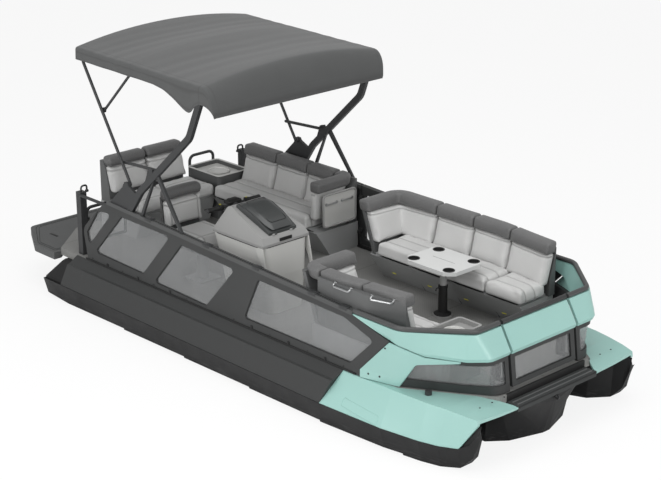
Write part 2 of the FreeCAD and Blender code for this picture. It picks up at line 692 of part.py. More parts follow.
def bow_rail():
    body = new_body("BowRail")
    middle = d.wall_outer - d.wall_thick / 2
    tube(body, "XY_Plane", [
        (d.band_start_x + d.seam, middle), (d.bow_rail_bend_x, middle, d.bow_rail_bend_radius),
        (d.bow_rail_corner_x, d.bow_rail_corner_half, d.bow_rail_corner_radius),
        (d.bow_rail_corner_x, d.fence_end)], d.bow_rail_radius, d.bow_rail_height)
    far = d.fence_end + d.gate_post
    low = d.deck_top + d.seam
    box(body, d.bow_post_x, d.bow_post_x + d.gate_post, d.fence_end, far, low, d.bow_rail_height)
    return body


def gate_hinge():
    """Hinge eyes on the starboard post, below those of the bow gate."""
    body = new_body("GateHinge")
    knuckles(body, -1)
    return body


# Bow fence
# Shares of the bow's length and of the half beam for the fence's outer line, at its foot, at the
# height where the wall's front edge starts to slant, and at its top. The last table has the shares
# of the wall's thickness by which the inner line moves in X and Y.
fence_foot_shares = [(0.2126, 0.8664), (0.445, 0.794), (0.726, 0.586), (0.892, 0.449), (0.892, None)]
fence_low_shares = [(0.2126, 0.8664), (0.455, 0.796), (0.740, 0.588), (0.886, 0.453), (0.886, None)]
fence_top_shares = [(0.3588, 0.8664), (0.490, 0.809), (0.788, 0.606), (0.867, 0.500), (0.867, None)]
fence_inward_shares = [(0.0, 1.0), (0.3, 1.0), (0.6, 0.85), (1.0, 0.5), (1.0, 0.0)]
# Shares of the half beam by which the fence's and the band's corners are rounded.
fence_round_shares = [None, 0.30, 0.20, 0.11, None]
band_round_shares = [None, 0.16, 0.10, 0.08, None]


def rounded_corners(points, shares, outward):
    """Adds a corner radius to each point of a line but its ends, larger as the line moves outward."""
    line = []
    last = len(points) - 1
    for index, (point, share) in enumerate(zip(points, shares)):
        ends = index == 0 or index == last or share is None
        line.append(point if ends else point + (d.half_beam * share + outward,))
    return line


def fence_line(rise, outward, start=0, end=None):
    """Plan points of the fence's surface at a height, moved outward by a length."""
    low_rise = d.quarter_low
    if rise.value < low_rise.value:
        rows = (fence_foot_shares, fence_low_shares)
        height = (rise - d.fairing_foot) / (low_rise - d.fairing_foot)
    else:
        rows = (fence_low_shares, fence_top_shares)
        height = (rise - low_rise) / (d.fairing_top - low_rise)
    points = []
    for index in range(start, len(fence_foot_shares)):
        low = rows[0][index]
        high = rows[1][index]
        x = bow_x(height * (high[0] - low[0]) + low[0])
        if low[1] is None:
            y = d.fence_end if end is None else end
        else:
            y = d.half_beam * (height * (high[1] - low[1]) + low[1])
        along, across = fence_inward_shares[index]
        points.append((x + outward * along, y + outward * across))
    return rounded_corners(points, fence_round_shares[start:], outward)


def fence_band(body, rise, outer, inner, start=0, end=None):
    points = fence_line(rise, outer, start, end)
    points += list(reversed(fence_line(rise, inner, start, end)))
    return outline(body, "XY_Plane", points, rise)


def fence_rise(share):
    return d.fairing_foot + (d.fairing_top - d.fairing_foot) * share


window_low_share = 0.245
window_high_share = 0.88


def bow_fairing():
    body = new_body("BowFairing")
    loft(body, [fence_band(body, rise, zero, -d.fairing_thick)
                for rise in (d.fairing_foot, d.quarter_low, d.fairing_top)])
    inset = d.fence_end + d.fence_post
    hole = body.newObject("PartDesign::SubtractiveLoft", "Window")
    far = -d.overrun - d.fairing_thick
    hole.Profile = fence_band(body, fence_rise(window_low_share), d.overrun, far, 1, inset)
    hole.Sections = [fence_band(body, fence_rise(window_high_share), d.overrun, far, 1, inset)]
    hole.Ruled = True
    return body


def bow_pane():
    body = new_body("BowPane")
    inset = d.fence_end + d.fence_post
    middle = -d.fairing_thick / 2
    half = d.pane_thick / 2
    loft(body, [fence_band(body, fence_rise(share), middle + half, middle - half, 1, inset)
                for share in (window_low_share, window_high_share)])
    return body


def quarter_panel():
    """The coloured panel that wraps from the wall on to the bow fairing and ends in a point."""
    body = new_body("QuarterPanel")
    skin = d.quarter_thick
    loft(body, [fence_band(body, rise, skin + d.seam, d.seam)
                for rise in (d.fairing_foot, d.quarter_low, d.fairing_top, d.quarter_top)])
    gap = d.panel_edge
    far = d.half_length
    aft = d.wall_front_x - d.overrun
    low = d.fairing_foot - d.overrun
    high = d.quarter_top + d.overrun
    cut_side(body, [(aft, low), (d.wall_front_x + gap, low), (d.wall_front_x + gap, d.quarter_low - gap),
                    (d.quarter_top_x + gap, d.quarter_top - gap), (d.quarter_top_x, high), (aft, high)])
    cut_side(body, [(d.quarter_top_x, d.quarter_top - gap), (d.band_low_x, d.fairing_top),
                    (far, d.fairing_top),
                    (far, high), (d.quarter_top_x, high)])
    cut_side(body, [(d.quarter_foot_x, low), (d.quarter_foot_x, d.fairing_foot),
                    (d.quarter_mid_x, d.quarter_mid, d.wall_round), (d.quarter_tip_x, d.quarter_tip),
                    (d.quarter_tip_x + d.seam * 10, d.fairing_top + d.overrun),
                    (far, d.fairing_top + d.overrun), (far, low)])
    return body


def bow_band():
    body = new_body("BowBand")
    sections = []
    # Shares of the bow's length and half beam along the band at its foot, its fullest line and its top.
    band_shares = [
        [(0.153, 0.8700), (0.452, 0.828), (0.790, 0.622), (0.876, 0.508), (0.876, None)],
        [(0.153, 0.8705), (0.453, 0.838), (0.797, 0.630), (0.885, 0.510), (0.885, None)],
        [(0.153, 0.8710), (0.490, 0.873), (0.780, 0.600), (0.812, 0.555), (0.812, None)]]
    heights = (d.band_foot, d.band_foot + d.band_bulge, d.bow_rail_height - d.bow_rail_radius - d.seam)
    for row, height in zip(band_shares, heights):
        outer = [(bow_x(x), d.fence_end if y is None else d.half_beam * y) for x, y in row]
        inner = [(x - d.band_thick * a, y - d.band_thick * b)
                 for (x, y), (a, b) in zip(outer, fence_inward_shares)]
        outer = rounded_corners(outer, band_round_shares, zero)
        inner = rounded_corners(inner, band_round_shares, -d.band_thick)
        sections.append(outline(body, "XY_Plane", outer + list(reversed(inner)), height))
    loft(body, sections)
    gap = d.panel_edge
    low = d.band_foot - d.overrun
    aft = d.wall_shoulder_x
    cut_side(body, [(aft, low), (aft, d.wall_top_front + gap), (d.band_start_x, d.wall_top_front + gap),
                    (d.quarter_top_x, d.quarter_top + gap), (d.band_low_x, d.band_foot), (d.band_low_x, low)])
    return body


# Bow gate
def gate_line(z_share, inward):
    """A point on the gate's leaning outer face at a share of its height, moved inward."""
    x = d.gate_foot_x + (d.gate_knee_x - d.gate_foot_x) * z_share
    return (x - inward, d.gate_foot + (d.fairing_top - d.gate_foot) * z_share)


def bow_gate_frame():
    body = new_body("BowGateFrame")
    width = d.gate_half * 2
    pad(body, outline(body, "XZ_Plane", [
        gate_line(0.0, zero), gate_line(1.0, zero), gate_line(1.0, d.gate_thick),
        gate_line(0.0, d.gate_thick)]), width, both=True)
    border = d.side_gate_border
    low = d.gate_foot + border * 0.8
    high = d.fairing_top - border * 0.7
    pocket(body, outline(body, "YZ_Plane", [
        (-d.gate_half + border, low), (d.gate_half - border, low),
        (d.gate_half - border, high), (-d.gate_half + border, high)]))
    aft = d.bow_post_x
    front = aft + d.gate_post
    arm = d.gate_foot + d.gate_post
    for side in (1, -1):
        near = -d.gate_half if side > 0 else d.gate_half - d.gate_post
        pad(body, outline(body, "XZ_Plane", [
            (aft, d.gate_foot), (d.gate_knee_x, d.gate_foot), (d.gate_knee_x, arm), (front, arm),
            (front, d.bow_rail_height), (aft, d.bow_rail_height)], near), d.gate_post)
    tube_x = d.bow_rail_corner_x
    pad(body, disc(body, "XZ_Plane", (tube_x, d.bow_rail_height), d.bow_rail_radius), width, both=True)
    knuckles(body, 1)
    return body


def knuckles(body, step):
    """Hinge eyes of the bow gate behind its starboard post; the other side's fit between them."""
    reach = d.gate_post * 1.2 * step
    for height in (d.gate_foot + d.gate_post, d.fairing_top):
        low = height if step > 0 else height - d.knuckle_height_step - d.seam
        edge = -d.gate_axis_half
        pad(body, disc(body, "XY_Plane", (d.bow_post_x - d.knuckle_radius, edge), d.knuckle_radius, low),
            d.knuckle_height_step)
        pad(body, outline(body, "XY_Plane", [
            (d.bow_post_x - d.knuckle_radius * 2, edge), (d.bow_post_x, edge),
            (d.bow_post_x, edge + reach), (d.bow_post_x - d.knuckle_radius * 2, edge + reach)], low),
            d.knuckle_height_step)


def bow_gate_band():
    body = new_body("BowGateBand")
    top = d.bow_rail_height - d.bow_rail_radius - d.seam
    foot_x = d.gate_knee_x + d.band_bulge / 2
    thick = d.band_thick
    pad(body, outline(body, "XZ_Plane", [
        (foot_x, d.band_foot), (foot_x + d.band_bulge / 3, d.band_foot + d.band_bulge),
        (d.gate_top_x + d.seam, top), (d.gate_top_x - thick + d.seam * 2, top),
        (foot_x - thick + d.seam * 2, d.band_foot)]), d.gate_half * 2, both=True)
    return body


def bow_gate_pane():
    body = new_body("BowGatePane")
    border = d.side_gate_border
    middle = (d.gate_thick - d.pane_thick) / 2
    span = d.fairing_top - d.gate_foot
    low = (border * 0.8 / span).value
    high = 1 - (border * 0.7 / span).value
    pad(body, outline(body, "XZ_Plane", [
        gate_line(low, middle), gate_line(high, middle), gate_line(high, middle + d.pane_thick),
        gate_line(low, middle + d.pane_thick)]), (d.gate_half - border) * 2, both=True)
    return body


def side_gate_frame():
    """The port gate: a framed leaf that fills the gap in the wall, with its own length of rail."""
    body = new_body("SideGateFrame")
    aft = d.side_gate_aft_x
    front = d.side_gate_front_x
    low = d.gate_foot
    pad(body, outline(body, "XZ_Plane", [
        (aft, low), (front, low), (front, wall_top_at(front)), (aft, wall_top_at(aft))], -d.wall_outer),
        d.wall_thick)
    pocket(body, outline(body, "XZ_Plane", side_gate_window(), -d.wall_outer))
    middle = d.wall_outer - d.wall_thick / 2
    pad(body, outline(body, "XZ_Plane", [
        (aft, wall_top_at(aft)), (front, wall_top_at(front)), (front, rail_top_at(front)),
        (aft, rail_top_at(aft))], -middle), d.rail_width, both=True)
    side_knuckles(body, 1)
    return body


def side_gate_window():
    border = d.side_gate_border
    aft = d.side_gate_aft_x + border
    front = d.side_gate_front_x - border
    low = d.gate_foot + border
    turn = d.window_round
    return [(aft, low, turn), (front, low, turn), (front, wall_top_at(front) - border, turn),
            (aft, wall_top_at(aft) - border, turn)]


def side_gate_pane():
    body = new_body("SideGatePane")
    pad(body, outline(body, "XZ_Plane", side_gate_window(),
                      -d.wall_outer + d.wall_thick / 2 - d.pane_thick / 2), d.pane_thick)
    return body


# Stern fittings
def stern_frame():
    """Box posts at both quarters with tubes to the walls, and a grab rail behind the corner unit."""
    pieces = []
    for side in (-1, 1):
        body = new_body("SternPost")
        half = d.stern_post_size / 2
        low = d.stern_post_half - half
        high = d.stern_post_half + half
        pad(body, outline(body, "XY_Plane", [
            (d.stern_post_x - half, low * side), (d.stern_post_x + half, low * side),
            (d.stern_post_x + half, high * side), (d.stern_post_x - half, high * side)], d.deck_top),
            d.stern_post_top - d.deck_top)
        if side < 0:
            inner = d.wall_outer - d.wall_thick - d.stern_tube - d.seam
            tube(body, "XZ_Plane", [(d.stern_post_x, d.stern_link_height),
                                    (d.stern_link_x, d.stern_link_height)], d.stern_tube, inner)
        pieces.append(body)
    rail = new_body("SternRail")
    foot = d.deck_top + d.seam
    tube(rail, "YZ_Plane", [
        (d.stern_rail_inner, foot), (d.stern_rail_inner, d.stern_rail_top, d.wall_round),
        (d.stern_rail_outer, d.stern_rail_top, d.wall_round), (d.stern_rail_outer, foot)],
        d.stern_tube, d.stern_rail_x)
    pieces.append(rail)
    return pieces


def stern_gate():
    body = new_body("SternGate")
    tube(body, "YZ_Plane", [
        (d.stern_gate_outer, d.stern_gate_low), (d.stern_gate_outer, d.stern_gate_top, d.wall_round),
        (d.stern_gate_inner, d.stern_gate_top, d.wall_round), (d.stern_gate_inner, d.stern_gate_low)],
        d.stern_tube, d.stern_gate_x)
    tube(body, "YZ_Plane", [(d.stern_gate_outer, d.stern_gate_low), (d.stern_gate_inner, d.stern_gate_low)],
         d.stern_tube, d.stern_gate_x)
    for height in (d.stern_gate_low, d.stern_gate_top - d.wall_round * 2):
        pad(body, disc(body, "XY_Plane", (d.stern_gate_x, d.stern_gate_outer),
                       d.stern_post_half - d.stern_post_size / 2 + d.stern_gate_outer - d.seam, height),
            d.knuckle_height_step)
    return body


def ribbon(points, width):
    """Both edges of a flat bar that follows a line of points, with mitred corners."""
    left = []
    right = []
    last = len(points) - 1
    for index, point in enumerate(points):
        before = points[max(index - 1, 0)]
        after = points[min(index + 1, last)]
        into = (value_of(point[0] - before[0]), value_of(point[1] - before[1]))
        out = (value_of(after[0] - point[0]), value_of(after[1] - point[1]))
        into = out if index == 0 else into
        out = into if index == last else out
        turn_in = math.atan2(into[1], into[0])
        turn_out = math.atan2(out[1], out[0])
        middle = (turn_in + turn_out) / 2
        reach = 0.5 / math.cos((turn_out - turn_in) / 2)
        across = -math.sin(middle) * reach
        up = math.cos(middle) * reach
        bend = point[2:]
        wide = (bend[0] + width / 2,) if bend else ()
        tight = (bend[0] - width / 2,) if bend else ()
        turns_left = turn_out > turn_in
        left.append((point[0] + width * across, point[1] + width * up) + (tight if turns_left else wide))
        right.append((point[0] - width * across, point[1] - width * up) + (wide if turns_left else tight))
    return left, right


def placed(body, x, y, z, axis, turn):
    """Stand a body at a point, turned about an axis."""
    body.Placement = FreeCAD.Placement(
        FreeCAD.Vector(value_of(x), value_of(y), value_of(z)),
        FreeCAD.Rotation(FreeCAD.Vector(*axis), value_of(turn)))
    for name, size in (("x", x), ("y", y), ("z", z)):
        if isinstance(size, Size) and size is not zero:
            body.setExpression("Placement.Base." + name, size.text)
    body.setExpression("Placement.Rotation.Angle", turn.text)
    return body


# Sun top frame
def arch_points():
    return [(d.arch_foot_x, rail_top_at(d.arch_foot_x)), (d.arch_bend_x, d.arch_bend, d.arch_round),
            (d.arch_knee_x, d.arch_knee, d.arch_round), (d.arch_top_x, d.arch_top)]


def arch_edge(share, side):
    """A point on the arch's upper or lower edge between its bend and its knee."""
    left, right = ribbon(arch_points(), d.arch_depth + d.seam * 2)
    row = left if side > 0 else right
    first, second = row[1], row[2]
    return (first[0] + (second[0] - first[0]) * share, first[1] + (second[1] - first[1]) * share)


def on_rail(body):
    """Lean a piece inboard from the top of the side rail."""
    height = d.arch_top - rail_top_at(d.arch_foot_x)
    return placed(body, zero, d.wall_outer - d.wall_thick / 2, rail_top_at(d.arch_foot_x),
                  (1, 0, 0), lean_of(d.arch_lean, height))


def from_rail(points):
    """Heights measured from the top of the side rail at the arch's foot."""
    base = rail_top_at(d.arch_foot_x)
    return [(p[0], p[1] - base) + tuple(p[2:]) for p in points]


def rail_pair(x, half):
    """Two points on top of the side rail, either side of a place."""
    lift = d.seam * 3
    return [(x - half, rail_top_at(x - half) + lift), (x + half, rail_top_at(x + half) + lift)]


def bimini_arch():
    body = new_body("Arch")
    left, right = ribbon(arch_points(), d.arch_depth)
    foot = rail_pair(d.arch_foot_x, d.arch_depth * 0.6)
    pad(body, outline(body, "XZ_Plane", from_rail([foot[0], foot[1]] + right[1:] + list(reversed(left[1:])))),
        d.arch_width, both=True)
    pad(body, outline(body, "XZ_Plane", from_rail([
        arch_edge(0.143, 1), arch_edge(0.304, 1), (d.link_front_x + d.link_size, d.link_front + d.link_size),
        (d.link_front_x - d.link_size, d.link_front + d.link_size / 2)])), d.gusset_width, both=True)
    return on_rail(body)


def fore_bow():
    """The cross tube that joins the two arches under the front of the canopy."""
    body = new_body("ForeBow")
    half = d.wall_outer - d.wall_thick / 2 - d.arch_lean - d.arch_width / 2 - d.seam * 3
    low = d.arch_top - d.arch_depth / 2
    tube(body, "YZ_Plane", [(half, low), (zero, low + d.bow_rise * 1.4, d.bow_crown_radius), (-half, low)],
         d.leg_radius, d.arch_top_x - d.arch_depth * 0.2)
    return body


def bimini_gusset():
    body = new_body("Gusset")
    foot = rail_pair(d.arch_foot_x, d.arch_depth * 0.6 + d.seam)
    aft = rail_pair(d.gusset_aft_x, zero)
    left, _ = ribbon(arch_points(), d.arch_depth + d.seam * 2)
    bend = left[1]
    lug = d.pivot_radius
    pad(body, outline(body, "XZ_Plane", from_rail([
        aft[0], foot[0], (bend[0] + (foot[0][0] - bend[0]) * 0.25, bend[1] + (foot[0][1] - bend[1]) * 0.25),
        (d.leg_foot_x + lug * 1.4, d.leg_foot), (d.leg_foot_x + lug, d.leg_foot + lug, lug / 2),
        (d.leg_foot_x - lug, d.leg_foot + lug, lug / 2), (d.gusset_top_x, d.gusset_top)])),
        d.gusset_width, both=True)
    return on_rail(body)


def bimini_strut(foot_x, share, name):
    """A flat stay from the rail up to the underside of the arch."""
    body = new_body(name)
    half = d.strut_size * 0.7
    foot = rail_pair(foot_x, half)
    reach = 0.022
    low = arch_edge(share - reach, -1)
    high = arch_edge(share + reach, -1)
    pad(body, outline(body, "XZ_Plane", from_rail([foot[0], foot[1], high, low])), d.strut_size, both=True)
    return on_rail(body)


def bow_tube(name, half, length, radius):
    """A hoop whose feet are on its own Y axis."""
    body = new_body(name)
    tube(body, "YZ_Plane", [(half, zero), (half, length, d.bow_bend),
                            (zero, length + d.bow_rise, d.bow_crown_radius),
                            (-half, length, d.bow_bend), (-half, zero)], radius)
    return body


def pivot_bosses(body, inner, outer):
    """Round bosses on the body's Y axis on both sides."""
    for side in (1, -1):
        near = -outer if side > 0 else inner
        pad(body, disc(body, "XZ_Plane", (zero, zero), d.pivot_radius, near), outer - inner)
    return body


# Places of the pivots as shares of the leg's length.
mid_pivot_share = 0.555
link_pivot_share = 0.16


def on_leg(share):
    x = d.leg_foot_x + (d.leg_top_x - d.leg_foot_x) * share
    return (x, d.leg_foot + (d.leg_top - d.leg_foot) * share)


def bimini_leg():
    across = d.leg_top_x - d.leg_foot_x
    up = d.leg_top - d.leg_foot
    body = bow_tube("Leg", d.leg_half, hypot(across, up), d.leg_radius)
    boss = d.wall_outer - d.wall_thick / 2 - d.gusset_width / 2 - d.arch_lean / 5 - d.seam
    pivot_bosses(body, d.leg_half, boss)
    return placed(body, d.leg_foot_x, zero, d.leg_foot, (0, 1, 0), lean_of(across, up))


def bimini_mid_bow():
    foot_x, foot = on_leg(mid_pivot_share)
    across = d.mid_top_x - foot_x
    up = d.mid_top - foot
    half = d.leg_half - d.leg_radius - d.run_gap - d.mid_radius
    body = bow_tube("MidBow", half, hypot(across, up), d.mid_radius)
    pivot_bosses(body, half, d.leg_half - d.leg_radius - d.seam)
    return placed(body, foot_x, zero, foot, (0, 1, 0), lean_of(across, up))


def bimini_link():
    """The stay with the release button between the leg and the arch."""
    foot_x, foot = on_leg(link_pivot_share)
    half = d.link_size / 2
    face = d.leg_half - d.leg_radius - d.run_gap
    body = new_body("Link")
    across = d.link_front_x - foot_x
    up = d.link_front - foot
    length = hypot(across, up)
    pad(body, outline(body, "XZ_Plane", [
        (-half, -half, half * 0.8), (half, -half, half * 0.8), (half, length + half, half * 0.8),
        (-half, length + half, half * 0.8)], -face), half)
    pad(body, disc(body, "XZ_Plane", (zero, zero), half * 0.9, -face - d.run_gap + d.seam), d.run_gap)
    return placed(body, foot_x, zero, foot, (0, 1, 0), lean_of(across, up))


# Canopy
def canopy_section(body, x, side, crown, drop, valance):
    half = d.canopy_half
    thick = d.canopy_thick
    # Shares of the half width and of the crown for the rounded top.
    top_shares = [(1.0, -0.2), (0.985, 0.0), (0.93, 0.22), (0.70, 0.60), (0.40, 0.87), (0.0, 1.0)]
    outer = []
    inner = []
    for across, up in top_shares:
        outer.append((half * across, side - drop + crown * up))
        inner.append(((half - thick) * across, side - drop + crown * up - thick))
    low = side - drop - valance
    left = [(half, low)] + outer
    right = [(-y, z) for y, z in reversed(left[:-1])]
    under_left = [(half - thick, low)] + inner
    under_right = [(-y, z) for y, z in reversed(under_left[:-1])]
    return outline(body, "YZ_Plane", left + right + list(reversed(under_left + under_right)), x)


def canopy():
    body = new_body("Canopy")
    # Shares of the length, crown height, drop and valance along the canopy.
    rows = [(0.0, 0.55, 0.0, 1.0), (0.06, 0.72, 0.0, 1.0), (0.30, 0.85, 0.04, 0.95), (0.62, 0.95, 0.03, 0.95),
            (1.0, 1.0, 0.0, 0.95)]
    sections = []
    for along, crown, drop, valance in rows:
        x = d.canopy_aft_x + (d.canopy_ridge_x - d.canopy_aft_x) * along
        side = d.canopy_side_aft + (d.canopy_side_front - d.canopy_side_aft) * along
        sections.append(canopy_section(body, x, side, d.canopy_crown * crown, d.canopy_drop * drop,
                                       d.canopy_valance * valance))
    sections.append(canopy_section(body, d.canopy_ridge_x + (d.canopy_lip_x - d.canopy_ridge_x) * 0.5,
                                   d.canopy_side_front, d.canopy_crown * 0.97, d.canopy_drop * 0.3,
                                   d.canopy_valance * 0.8))
    sections.append(canopy_section(body, d.canopy_lip_x, d.canopy_side_front, d.canopy_crown * 0.9,
                                   d.canopy_drop, d.canopy_valance * 0.35))
    loft(body, sections)
    return body


# Seats
def plan_loft(body, levels):
    """A solid through plan outlines at rising heights."""
    return loft(body, [outline(body, "XY_Plane", points, height) for points, height in levels])


def seat_base(name, foot, top):
    """A cabinet whose front leans out to the seat, with a dark recess under the cushion."""
    body = new_body(name)
    gap = d.base_gap
    high = d.seat_top - d.seat_thick - d.seam
    plan_loft(body, [(foot, d.deck_top + d.seam), (top, high - gap)])
    return body, high


def box(body, x0, x1, y0, y1, z0, z1, turn=None):
    """A block from plan corners, its upright edges rounded if a radius is given."""
    bend = () if turn is None else (turn,)
    corners = [(x0, y0) + bend, (x1, y0) + bend, (x1, y1) + bend, (x0, y1) + bend]
    pad(body, outline(body, "XY_Plane", corners, z0), z1 - z0)
    return body


def sofa_aft_base():
    aft, front, out = d.aft_sofa_aft_x, d.aft_sofa_front_x, d.seat_outer
    foot = d.seat_foot
    top = d.seat_front + d.base_recess
    body, high = seat_base("SofaAftBase", [(aft, foot), (front, foot), (front, out), (aft, out)],
                           [(aft, top), (front, top), (front, out), (aft, out)])
    recess = d.base_recess
    box(body, aft, front - d.arm_thick, top + recess, out, high - d.base_gap, high)
    return body


def sofa_aft_seat():
    body = new_body("SofaAftSeat")
    aft, front = d.aft_sofa_aft_x, d.aft_sofa_front_x - d.arm_thick - d.seam
    turn = d.seat_round
    low = d.seat_top - d.seat_thick
    pad(body, outline(body, "YZ_Plane", [
        (d.seat_front, low, turn / 2), (d.seat_back_low - d.seam, low),
        (d.seat_back_low - d.seam, d.seat_top), (d.seat_front, d.seat_top, turn)], aft), front - aft)
    return body


def back_profile(outer, low, high, top):
    """Side profile of a backrest with a rolled top."""
    base = d.seat_top - d.seat_thick
    return [(low, base), (outer, base), (outer, top, d.roll_round),
            (high, top, d.roll_round), (low, d.seat_top)]


def sofa_aft_back():
    body = new_body("SofaAftBack")
    aft, front = d.aft_sofa_aft_x, d.aft_sofa_front_x
    pad(body, outline(body, "YZ_Plane", back_profile(d.seat_outer, d.seat_back_low, d.seat_back_high,
                                                     d.seat_back_top), aft), front - aft)
    base = d.seat_top - d.seat_thick - d.base_gap
    pad(body, outline(body, "YZ_Plane", [
        (d.arm_inner, base), (d.seat_outer, base), (d.seat_outer, d.seat_back_top),
        (d.arm_inner, d.seat_back_top, d.roll_round)], front - d.arm_thick), d.arm_thick)
    return body


def bow_side(inner, inner_tip, outer, outer_tip, aft, front):
    """Plan outline of the port bow sofa, which narrows with the bow."""
    return [(aft, inner), (d.bow_sofa_bend_x, inner), (front, inner_tip), (front, outer_tip),
            (d.bow_fence_bend_x, outer), (aft, outer)]


def bow_base(name, aft):
    """Cabinet of a bow sofa whose aft end is at the given place."""
    front = d.bow_sofa_front_x
    recess = d.base_recess
    out, tip = d.seat_outer, d.bow_fence_tip
    foot = bow_side(d.seat_foot, d.seat_foot - d.seat_front + d.bow_sofa_tip, out, tip, aft, front - recess)
    top = bow_side(d.seat_front + recess, d.bow_sofa_tip + recess, out, tip, aft, front - recess)
    body, high = seat_base(name, foot, top)
    inset = recess * 2
    plan = bow_side(d.seat_front + inset, d.bow_sofa_tip + inset, out, tip, aft, front - inset)
    pad(body, outline(body, "XY_Plane", plan, high - d.base_gap), d.base_gap)
    return body


def bow_seat(name, aft_end):
    body = new_body(name)
    aft = aft_end + d.arm_thick + d.seam
    low = d.seat_top - d.seat_thick
    front = d.bow_sofa_front_x
    bend = d.bow_sofa_bend_x
    back = d.seat_back_low - d.seam
    rows = []
    # Shares of the edge rounding at the foot and top of the cushion.
    for share, height in ((0.5, low), (0.0, low + d.seat_round / 2), (0.0, d.seat_top - d.seat_round),
                          (1.0, d.seat_top)):
        turn = d.seat_round * share
        points = [(aft, d.seat_front + turn), (bend, d.seat_front + turn),
                  (front - turn, d.bow_sofa_tip + turn), (front - turn, d.bow_back_tip - d.seam),
                  (bend, back), (aft, back)]
        rows.append((points, height))
    plan_loft(body, rows)
    return body


def bow_back(name, aft):
    """Backrest of a bow sofa with its leaning rest at the aft end."""
    body = new_body(name)
    front = d.bow_sofa_front_x
    base = d.seat_top - d.seat_thick
    top = d.seat_back_top
    roll = d.roll_round
    shift = d.seat_back_high - d.seat_back_low
    lean = d.bow_arm_lean / (top - base)
    rows = []
    # Heights with the shares by which the inner face leans back and the roll closes in.
    for height, back, closed in ((base, 0.0, 0.0), (d.seat_top, 0.0, 0.0), (top - roll, 1.0, 0.0),
                                 (top, 1.0, 0.45)):
        inner = d.seat_back_low + shift * back + roll * closed
        tip = d.bow_back_tip + shift * back + roll * closed
        start = aft - lean * (height - base) + roll * closed
        rows.append((bow_side(inner, tip, d.seat_outer - roll * closed, d.bow_fence_tip - roll * closed,
                              start, front - roll * closed), height))
    plan_loft(body, rows)
    pad(body, outline(body, "XZ_Plane", [
        (aft, base), (aft + d.arm_thick, base), (aft + d.arm_thick - d.bow_arm_lean, top, roll),
        (aft - d.bow_arm_lean, top, roll)], -d.seat_back_high - d.roll_round),
        d.seat_back_high + d.roll_round - d.arm_inner)
    return body


def bench_base():
    body = new_body("BenchBase")
    high = d.seat_top - d.seat_thick - d.seam
    gap = d.base_gap
    recess = d.base_recess
    front = d.bench_front_x - recess
    pad(body, outline(body, "XZ_Plane", [
        (d.bench_aft_x, d.deck_top + d.seam), (d.bench_foot_x, d.deck_top + d.seam), (front, high - gap),
        (front - recess, high - gap), (front - recess, high), (d.bench_aft_x, high)], -d.bench_port),
        d.bench_port - d.bench_star)
    return body


def bench_seat():
    body = new_body("BenchSeat")
    low = d.seat_top - d.seat_thick
    pad(body, outline(body, "XZ_Plane", [
        (d.bench_back_x + d.seam, low), (d.bench_front_x, low, d.seat_round / 2),
        (d.bench_front_x, d.seat_top, d.seat_round), (d.bench_back_x + d.seam, d.seat_top)], -d.bench_port),
        d.bench_port - d.bench_star)
    return body


def bench_back():
    body = new_body("BenchBack")
    points = back_profile(d.bench_aft_x, d.bench_back_x, d.bench_back_x - d.seat_back_high + d.seat_back_low,
                          d.seat_back_top)
    pad(body, outline(body, "XZ_Plane", points, -d.bench_port), d.bench_port - d.bench_star)
    return body


def corner_unit():
    body = new_body("CornerUnit")
    aft, front = d.corner_aft_x, d.corner_front_x
    inner, outer = d.corner_inner, d.corner_outer
    box(body, aft, front, inner, outer, d.deck_top + d.seam, d.corner_top, d.roll_round)
    rim = d.tray_wall
    pocket(body, outline(body, "XY_Plane", [
        (aft + rim, inner + rim, rim), (front - rim, inner + rim, rim),
        (front - rim, outer - rim, rim), (aft + rim, outer - rim, rim)],
        d.corner_top), d.tray_hollow)
    return body


def lounge_pod():
    """The moulded side tray ahead of the lounge."""
    body = new_body("LoungePod")
    aft, front = d.pod_aft_x, d.pod_front_x
    points = [(aft, d.pod_outer), (aft, d.pod_inner, d.roll_round), (front, d.pod_inner, d.roll_round),
              (front, d.pod_tip, d.roll_round)]
    pad(body, outline(body, "XY_Plane", points, d.deck_top + d.seam), d.pod_top - d.deck_top - d.seam)
    rim = d.tray_wall
    pocket(body, outline(body, "XY_Plane", [
        (aft + rim, d.pod_outer + rim * 2, rim), (aft + rim, d.pod_inner - rim, rim),
        (front - rim, d.pod_inner - rim, rim), (front - rim, d.pod_tip + rim, rim)], d.pod_top),
        d.tray_hollow)
    return body


# Helm seat
def helm_pedestal():
    body = new_body("HelmPedestal")
    half = d.helm_plate / 2
    low = d.deck_top + d.seam
    high = low + d.helm_plate_thick
    box(body, d.helm_x - half, d.helm_x + half, d.helm_y - half, d.helm_y + half, low, high, d.tray_wall)
    pad(body, disc(body, "XY_Plane", (d.helm_x, d.helm_y), d.helm_post_radius, low + d.helm_plate_thick),
        d.helm_post_top - low - d.helm_plate_thick - d.seam)
    return body


def helm_seat():
    body = new_body("HelmSeat")
    turn = d.seat_round
    low = d.helm_post_top
    pad(body, outline(body, "XZ_Plane", [
        (d.helm_x - d.helm_seat_aft, low), (d.helm_x + d.helm_seat_front, low, turn / 2),
        (d.helm_x + d.helm_seat_front, d.helm_seat_top, turn), (d.helm_x - d.helm_seat_aft, d.helm_seat_top)],
        -d.helm_y), d.helm_seat_half * 2, both=True)
    return body


def helm_back():
    body = new_body("HelmBack")
    aft = d.helm_x - d.helm_seat_aft - d.seam
    lean = d.helm_back_lean
    thick = d.helm_back_thick
    low = d.helm_post_top
    pad(body, outline(body, "XZ_Plane", [
        (aft, low), (aft, d.helm_seat_top), (aft - lean / 2, d.helm_back_top, d.roll_round),
        (aft - lean / 2 - thick * 0.9, d.helm_back_top, d.roll_round), (aft - thick * 0.8, low)], -d.helm_y),
        d.helm_seat_half * 2, both=True)
    return body


